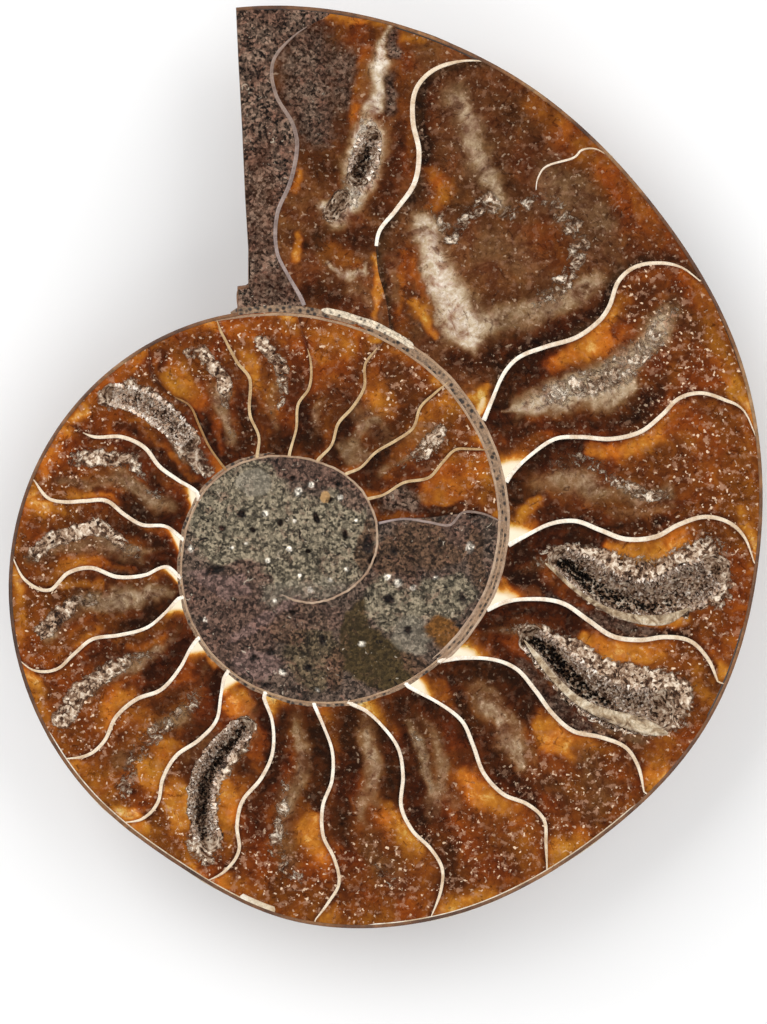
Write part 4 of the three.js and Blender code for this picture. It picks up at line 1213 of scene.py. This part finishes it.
# Hollow pits in the photograph, each dented and painted near black as painted shade: place, half sizes and
# turn.
# Pale grains and shell bits: place and radius
core_pits = [
    (222, 528, 5, 3, -20), (241, 514, 4, 5, 30), (253, 530, 3, 3, 0), (280, 523, 3, 4, 0),
    (215, 570, 10, 4, 22), (308, 552, 3, 3, 0), (316, 518, 3, 7, 20), (394, 551, 4, 4, 0),
    (389, 599, 7, 5, -10), (253, 658, 5, 4, 20), (270, 651, 4, 5, 0), (267, 685, 6, 3, 10),
    (368, 545, 5, 10, 0), (372, 560, 4, 5, 0), (473, 513, 5, 5, 0), (463, 599, 4, 7, 20),
    (408, 630, 4, 5, 0), (330, 500, 3, 4, 0), (292, 478, 4, 3, 0), (345, 535, 3, 6, 10),
    (292, 612, 4, 3, 0), (322, 640, 4, 6, 0), (308, 668, 5, 4, 0), (338, 484, 4, 3, 0), (420, 574, 3, 3, 0),
]
core_specks = [
    (265, 513, 3), (298, 492, 4), (311, 485, 3), (289, 549, 3), (310, 590, 3), (268, 561, 3), (191, 549, 3),
    (398, 583, 4), (387, 577, 3), (470, 547, 4), (340, 497, 3), (246, 544, 2), (330, 580, 2), (300, 575, 2),
    (232, 548, 2), (356, 520, 2), (413, 588, 3), (362, 644, 3), (282, 672, 3), (318, 690, 2), (205, 620, 2),
    (436, 578, 2), (295, 520, 2), (347, 570, 2), (275, 600, 2),
]


def core_material():
    """Sawn siltstone in patches of grey-green and purple-brown."""
    made, tree, shader = new_material("core_siltstone")
    tint = add_node(tree, "Attribute", attribute_name="tint").outputs["Color"]
    siltstone_nodes(tree, shader, tint, add_node(tree, "Attribute", attribute_name="grain").outputs["Fac"])
    return made


core_rays = rays_of([from_photo(px, py) for px, py in through(core_edge, 6)], 290, 360)
core_rings = 104
plain_siltstone, plain_grain = (0.088, 0.058, 0.042), 0.85
pit_shade_colour, pit_depth = (0.012, 0.007, 0.005), 0.45 * mm
shell_bit = (0.6, 0.54, 0.45)
amber_bit, amber_grain, amber_place, amber_radius = (0.4, 0.235, 0.1), 0.12, (325, 497), 5.5


def core_place(column, row):
    """Corner of the core, out along its ray."""
    growth, outline = core_rays[column]
    return on_coil(growth, outline * row / core_rings, filling_top)


core_mesh = laid_grid(len(core_rays), core_rings, core_place, wrap=True)
if sum(face.normal.z for face in core_mesh.faces) < 0:
    bmesh.ops.reverse_faces(core_mesh, faces=core_mesh.faces)
core_tint = core_mesh.verts.layers.float_color.new("tint")
core_grain = core_mesh.verts.layers.float.new("grain")
for vert in core_mesh.verts:
    px, py = on_photo(vert.co)
    broad, narrow = warps_at(px, py, 30, 9)
    wx, wy = px + broad.x * 8 + narrow.x * 4, py + broad.y * 8 + narrow.y * 4
    px, py = px + narrow.x * 1.5, py + narrow.y * 1.5
    colour, grain = Vector(plain_siltstone), plain_grain
    for *spot, patch, strength in core_patches:
        share = strength * (1 - smooth(0.9, 1.08, spot_distance(wx, wy, spot)))
        colour = colour.lerp(Vector(patch), share)
        grain += (core_grains.get(patch, plain_grain) - grain) * share
    # Painted shade: each pit is darkened to near black as well as dented.
    for spot in core_pits:
        away = spot_distance(px, py, spot)
        colour = colour.lerp(Vector(pit_shade_colour), 1 - smooth(0.7, 1.25, away))
        vert.co.z -= pit_depth * (1 - smooth(0.3, 1.2, away))
    for cx, cy, radius in core_specks:
        share = 1 - smooth(0.6, 1.2, math.hypot(px - cx, py - cy) / radius)
        colour = colour.lerp(Vector(shell_bit), share)
    if math.dist((px, py), amber_place) < amber_radius:
        colour, grain = Vector(amber_bit), amber_grain
    vert[core_tint] = (*colour, 1)
    vert[core_grain] = grain
core = piece_from("core", core_mesh, core_material())
thick = core.modifiers.new("depth", "SOLIDIFY")
thick.thickness = filling_depth
thick.offset = -1
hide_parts("ammonite_half")

# Spiral wall. The shell wall between one whorl and the next, cut by the saw as one long line that winds
# inwards: a granular band between two tan lines on the right, and a single tan line further in. Along the
# outer rim lie strips of painted light: a cream painted highlight on the lower left and bottom, and a dark
# painted shadow on the right and top. Each line is a thin strip laid along the coil.
wall_tan = nacre_material("wall_tan", (0.42, 0.27, 0.16), (0.27, 0.15, 0.08))
# Painted light on the rounded outer rim: the cream strips on the lower left and bottom are a painted
# highlight, and the dark strips on the right and top are a painted shadow.
rim_cream_highlight = nacre_material("rim_cream_highlight", (0.7, 0.58, 0.42), (0.46, 0.32, 0.18))
rim_shadow = nacre_material("rim_shadow", (0.035, 0.02, 0.012), (0.012, 0.007, 0.005))


def pitted_material(name, hole, light):
    """Granular filling of the wall, with round dark holes of a given size in its cells."""
    made, tree, shader = new_material(name)
    dim = tuple(part * 0.36 for part in light)
    beads = ramp(tree, cells_of(tree, 0.7 * mm), [
        (hole, (0.02, 0.011, 0.007)), (hole + 0.12, dim), (hole + 0.28, light)])
    fine = ramp(tree, noise_of(tree, 0.4 * mm, 6, 0.7), [(0.35, grey(0.4)), (0.65, grey(1.4))])
    tree.links.new(mixed(tree, 1.0, beads, fine, "MULTIPLY"), shader.inputs["Base Color"])
    tree.links.new(ramp(tree, noise_of(tree, 0.7 * mm), [(0.4, grey(0.3)), (0.6, grey(0.55))]),
                   shader.inputs["Roughness"])
    bump(tree, shader, cells_of(tree, 0.6 * mm), 0.1 * mm, 0.7)
    return made


granular = pitted_material("granular_wall", 0.22, (0.27, 0.165, 0.095))
pitted_cream = pitted_material("pitted_cream_wall", 0.08, (0.72, 0.6, 0.44))
# Each line of the wall: name, start and end in degrees of growth, shift from the wall and width in
# millimetres, material, and how far below the face it lies in millimetres
wall_lines = [
    ("wall_innermost", -115, 378, 0.0, 0.28, wall_tan, 0.0),
    ("wall_granular", 322, 436, 0.0, 1.2, granular, 0.012),
    ("wall_granular_top", 436, 466, 0.1, 1.0, granular, 0.012),
    ("wall_dots", 104, 330, 0.34, 0.38, granular, 0.012),
    ("wall_right_outer", 322, 440, 0.6, 0.34, wall_tan, 0.0),
    ("wall_right_inner", 322, 470, -0.6, 0.34, wall_tan, 0.0),
    ("wall_pitted_cream_top", 421, 445, 0.55, 0.95, pitted_cream, 0.0),
    # The rim strips below are painted light: cream painted highlights, then dark painted shadows.
    ("rim_highlight_left", 574, 626, -0.31, 0.6, rim_cream_highlight, 0.0),
    ("rim_chip", 620, 626, -0.6, 1.1, rim_cream_highlight, 0.0),
    ("rim_highlight_bottom", 640, 684, -0.31, 0.6, rim_cream_highlight, 0.0),
    ("rim_shadow_top", 803, 815, -0.3, 0.5, rim_shadow, 0.0),
    ("rim_shadow_shoulder", 790, 800, -0.36, 0.6, rim_shadow, 0.0),
    ("rim_shadow_right", 742, 750, -0.3, 0.5, rim_shadow, 0.0),
    ("rim_shadow_low", 698, 711, -0.36, 0.6, rim_shadow, 0.0),
]
fewest_steps, degrees_per_step = 20, 1.5
for name, start, end, shift, width, material, drop in wall_lines:
    steps = max(fewest_steps, int((end - start) / degrees_per_step))
    points = []
    widths = []
    for k in range(steps + 1):
        growth = start + (end - start) * k / steps
        waver = 0.06 * math.sin(growth * 0.31) + 0.04 * math.sin(growth * 0.83 + 1)
        points.append(tuple(on_coil(growth, wall_radius(growth) + (shift + waver * 0.5) * mm))[:2])
        taper = smooth(0, 0.04, k / steps) * smooth(0, 0.04, 1 - k / steps)
        widths.append(width * mm * (0.25 + 0.75 * taper) * (1 + waver))
    line = strip(name, points, widths, material, top=face_height - drop * mm)
    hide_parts("ammonite_half")

# Crystal crusts. The last calcite to grow left open hollows lined with small pointed crystals,
# glassy and grey-white with brown stains. Each crystal is a five-sided point rooted in the hollow's wall.
crystal_sides = 5
crystals_per_mm = 90
crystal_radii = (0.1 * mm, 0.25 * mm)
crystal_slimness, crystal_tip = 2.6, 0.15
below_face = 0.02 * mm
batch_size = 50
# The slot at the bottom of each hollow in the photograph, where the crystals are painted darker as painted
# shade: place and half width
slot_shade_lines = {
    "crust_first_chamber": [(367, 147, 4), (362, 163, 8), (355, 180, 8), (344, 200, 4)],
    "crust_fifth_chamber": [
        (545, 556, 3), (572, 568, 7), (598, 590, 8), (622, 603, 8), (648, 607, 5), (676, 604, 3),
    ],
    "crust_sixth_chamber": [(522, 634, 3), (548, 650, 7), (568, 674, 8), (590, 697, 7), (610, 704, 3)],
    "crust_eleventh_chamber": [(243, 728, 3), (222, 756, 6), (204, 786, 7), (200, 815, 6), (203, 850, 3)],
    "crust_seventeenth_chamber": [(118, 402, 3), (150, 405, 4), (180, 432, 4), (205, 470, 3)],
}
crystal_tones = {"crust_first_chamber": 0.78, "crust_fifth_chamber": 0.63, "crust_seventeenth_chamber": 0.86}
# How strongly each crust's crystals are darkened by that painted slot shade
slot_shade_strengths = {"crust_first_chamber": 0.6, "crust_seventeenth_chamber": 0.15, "crust_eleventh_chamber": 0.55}


def crystal_material():
    """Glassy grey-white calcite points, each of its own tone, darker where painted shade lies along the slot,
    with brown stains.
    """
    made, tree, shader = new_material("calcite_crystals")
    shade = add_node(tree, "Attribute", attribute_name="shade").outputs["Fac"]
    colour = ramp(tree, shade, [
        (0.0, (0.006, 0.004, 0.003)), (0.25, (0.07, 0.038, 0.024)), (0.5, (0.29, 0.195, 0.14)),
        (0.75, (0.62, 0.49, 0.39)), (1.0, (0.97, 0.89, 0.79))])
    stain = ramp(tree, noise_of(tree, 0.8 * mm, 4), [(0.46, grey(0)), (0.62, grey(0.7))])
    colour = mixed(tree, stain, colour, mixed(tree, 1.0, colour, (0.82, 0.6, 0.42), "MULTIPLY"))
    tree.links.new(colour, shader.inputs["Base Color"])
    tree.links.new(ramp(tree, noise_of(tree, 0.5 * mm), [(0.4, grey(0.15)), (0.6, grey(0.4))]),
                   shader.inputs["Roughness"])
    shader.inputs["Specular IOR Level"].default_value = 0.4
    return made


crystals = crystal_material()
draw = random.Random(7)
for name, (chamber, stations) in hollows.items():
    line = [tuple(v * mm for v in station) for station in through(stations, 6)]
    crust = bmesh.new()
    batch = bpy.data.meshes.new(name + "_batch")
    length = sum(math.dist(a[:2], b[:2]) for a, b in zip(line, line[1:]))
    for i in range(int(length / mm * crystals_per_mm)):
        if i % batch_size == 0:
            handful = bmesh.new()
            shade = handful.verts.layers.float.new("shade")
        spot = draw.uniform(0, len(line) - 1.001)
        left, right = line[int(spot)], line[int(spot) + 1]
        x, y, half, deep = (a + (b - a) * (spot % 1) for a, b in zip(left, right))
        run = Vector((right[0] - left[0], right[1] - left[1], 0)).normalized()
        side = Vector((-run.y, run.x, 0))
        turn = math.pi * draw.uniform(1.0, 2.0)
        out = side * (half * math.cos(turn)) + Vector((0, 0, deep * math.sin(turn)))
        size = draw.uniform(*crystal_radii)
        root = Vector((x, y, face_height)) + out * draw.uniform(0.93, 1.0)
        point = (-out.normalized() + Vector([draw.uniform(-0.6, 0.6) for axis in range(3)])).normalized()
        place = Matrix.Translation(root) @ point.to_track_quat("Z", "Y").to_matrix().to_4x4()
        grown = bmesh.ops.create_cone(
            handful, cap_ends=True, segments=crystal_sides, radius1=size, radius2=size * crystal_tip,
            depth=size * crystal_slimness, matrix=place)
        px, py = on_photo(root)
        tone = crystal_tones.get(name, 0.7) + draw.gauss(0, 0.2)
        # Painted shade: crystals near the slot at the bottom of the hollow are darker.
        gap, (reach,) = along_line(px, py, slot_shade_lines[name])
        tone -= slot_shade_strengths.get(name, 1) * (1 - smooth(0.7, 1.1, gap / reach))
        for vert in grown["verts"]:
            vert[shade] = min(max(tone, 0), 1)
            vert.co.z = min(vert.co.z, face_height - below_face)
        if i % batch_size == batch_size - 1:
            handful.to_mesh(batch)
            handful.free()
            crust.from_mesh(batch)
    bpy.data.meshes.remove(batch)
    lining = piece_from(name + "_crystals", crust, crystals, smooth_shading=False)
    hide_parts(name)

# Ledges. In the two large hollows a smooth pale tongue of calcite lies below the dark slot, between the
# crystals and the septum. Each is a thin strip with tapered ends, listed by place and width.
ledges = {
    "crust_fifth_chamber": [(545, 563, 1), (554, 570, 4), (572, 587, 4), (596, 604, 5), (620, 615, 7),
                            (645, 620, 10), (668, 619, 10), (690, 608, 2)],
    "crust_sixth_chamber": [(524, 640, 1), (538, 658, 6), (556, 680, 7), (576, 699, 8), (602, 713, 11),
                            (630, 722, 15), (652, 729, 13), (668, 734, 3)],
}


def ledge_material():
    """Smooth milky calcite, olive-beige with paler wisps."""
    made, tree, shader = new_material("smooth_calcite")
    wisps = ramp(tree, noise_of(tree, 1.6 * mm, 5, 0.65, 1.0), [
        (0.36, (0.12, 0.065, 0.03)), (0.46, (0.34, 0.23, 0.13)), (0.56, (0.58, 0.46, 0.31)),
        (0.68, (0.78, 0.68, 0.52))])
    fine = ramp(tree, noise_of(tree, 0.35 * mm, 4, 0.7), [(0.34, grey(0.6)), (0.6, grey(1.1))])
    tree.links.new(mixed(tree, 0.8, wisps, fine, "MULTIPLY"), shader.inputs["Base Color"])
    tree.links.new(ramp(tree, noise_of(tree, 1 * mm), [(0.4, grey(0.2)), (0.6, grey(0.35))]),
                   shader.inputs["Roughness"])
    bump(tree, shader, noise_of(tree, 0.7 * mm, 4), 0.06 * mm, 0.7)
    return made


smooth_calcite = ledge_material()
ledge_drop, ledge_depth = 0.008 * mm, 0.5 * mm
for name, stations in ledges.items():
    line = through(stations, 8)
    places = [from_photo(px, py) for px, py, wide in line]
    widths = [wide * photo_pixel for px, py, wide in line]
    ledge = strip(name + "_ledge", places, widths, smooth_calcite, face_height - ledge_drop, ledge_depth)
    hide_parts(name)

# Floor and light. A plain pale floor under a soft sky, with large soft lamps to the sides,
# kept out of what the polished face mirrors towards the camera.
floor_gap = 0.1 * mm
floor_mesh = bmesh.new()
bmesh.ops.create_grid(floor_mesh, x_segments=1, y_segments=1, size=3)
floor_data = bpy.data.meshes.new("floor")
floor_mesh.to_mesh(floor_data)
floor_mesh.free()
floor = bpy.data.objects.new("floor", floor_data)
floor.location = (0, 0, cad_box[0][2] - floor_gap)
bpy.context.scene.collection.objects.link(floor)
floor_material, _, floor_shader = new_material("pale_floor")
floor_shader.inputs["Base Color"].default_value = (0.9, 0.9, 0.9, 1)
floor_shader.inputs["Roughness"].default_value = 0.9
floor_data.materials.append(floor_material)

world = bpy.data.worlds.new("studio")
world.use_nodes = True
world.node_tree.nodes["Background"].inputs["Color"].default_value = (1, 1, 1, 1)
world.node_tree.nodes["Background"].inputs["Strength"].default_value = 0.45
bpy.context.scene.world = world
lamps = [("lamp_left", (-0.62, 0.5, 0.62), 0.9, 7.6), ("lamp_right", (0.7, 0.3, 0.6), 0.9, 4.4),
         ("lamp_front", (0.1, -0.8, 0.6), 0.9, 4)]
for name, place, size, watts in lamps:
    lamp_data = bpy.data.lights.new(name, "AREA")
    lamp_data.size = size
    lamp_data.energy = watts
    lamp = bpy.data.objects.new(name, lamp_data)
    lamp.location = place
    lamp.rotation_euler = (-Vector(place)).to_track_quat("-Z", "Y").to_euler()
    bpy.context.scene.collection.objects.link(lamp)
bpy.context.scene.view_settings.view_transform = "Standard"
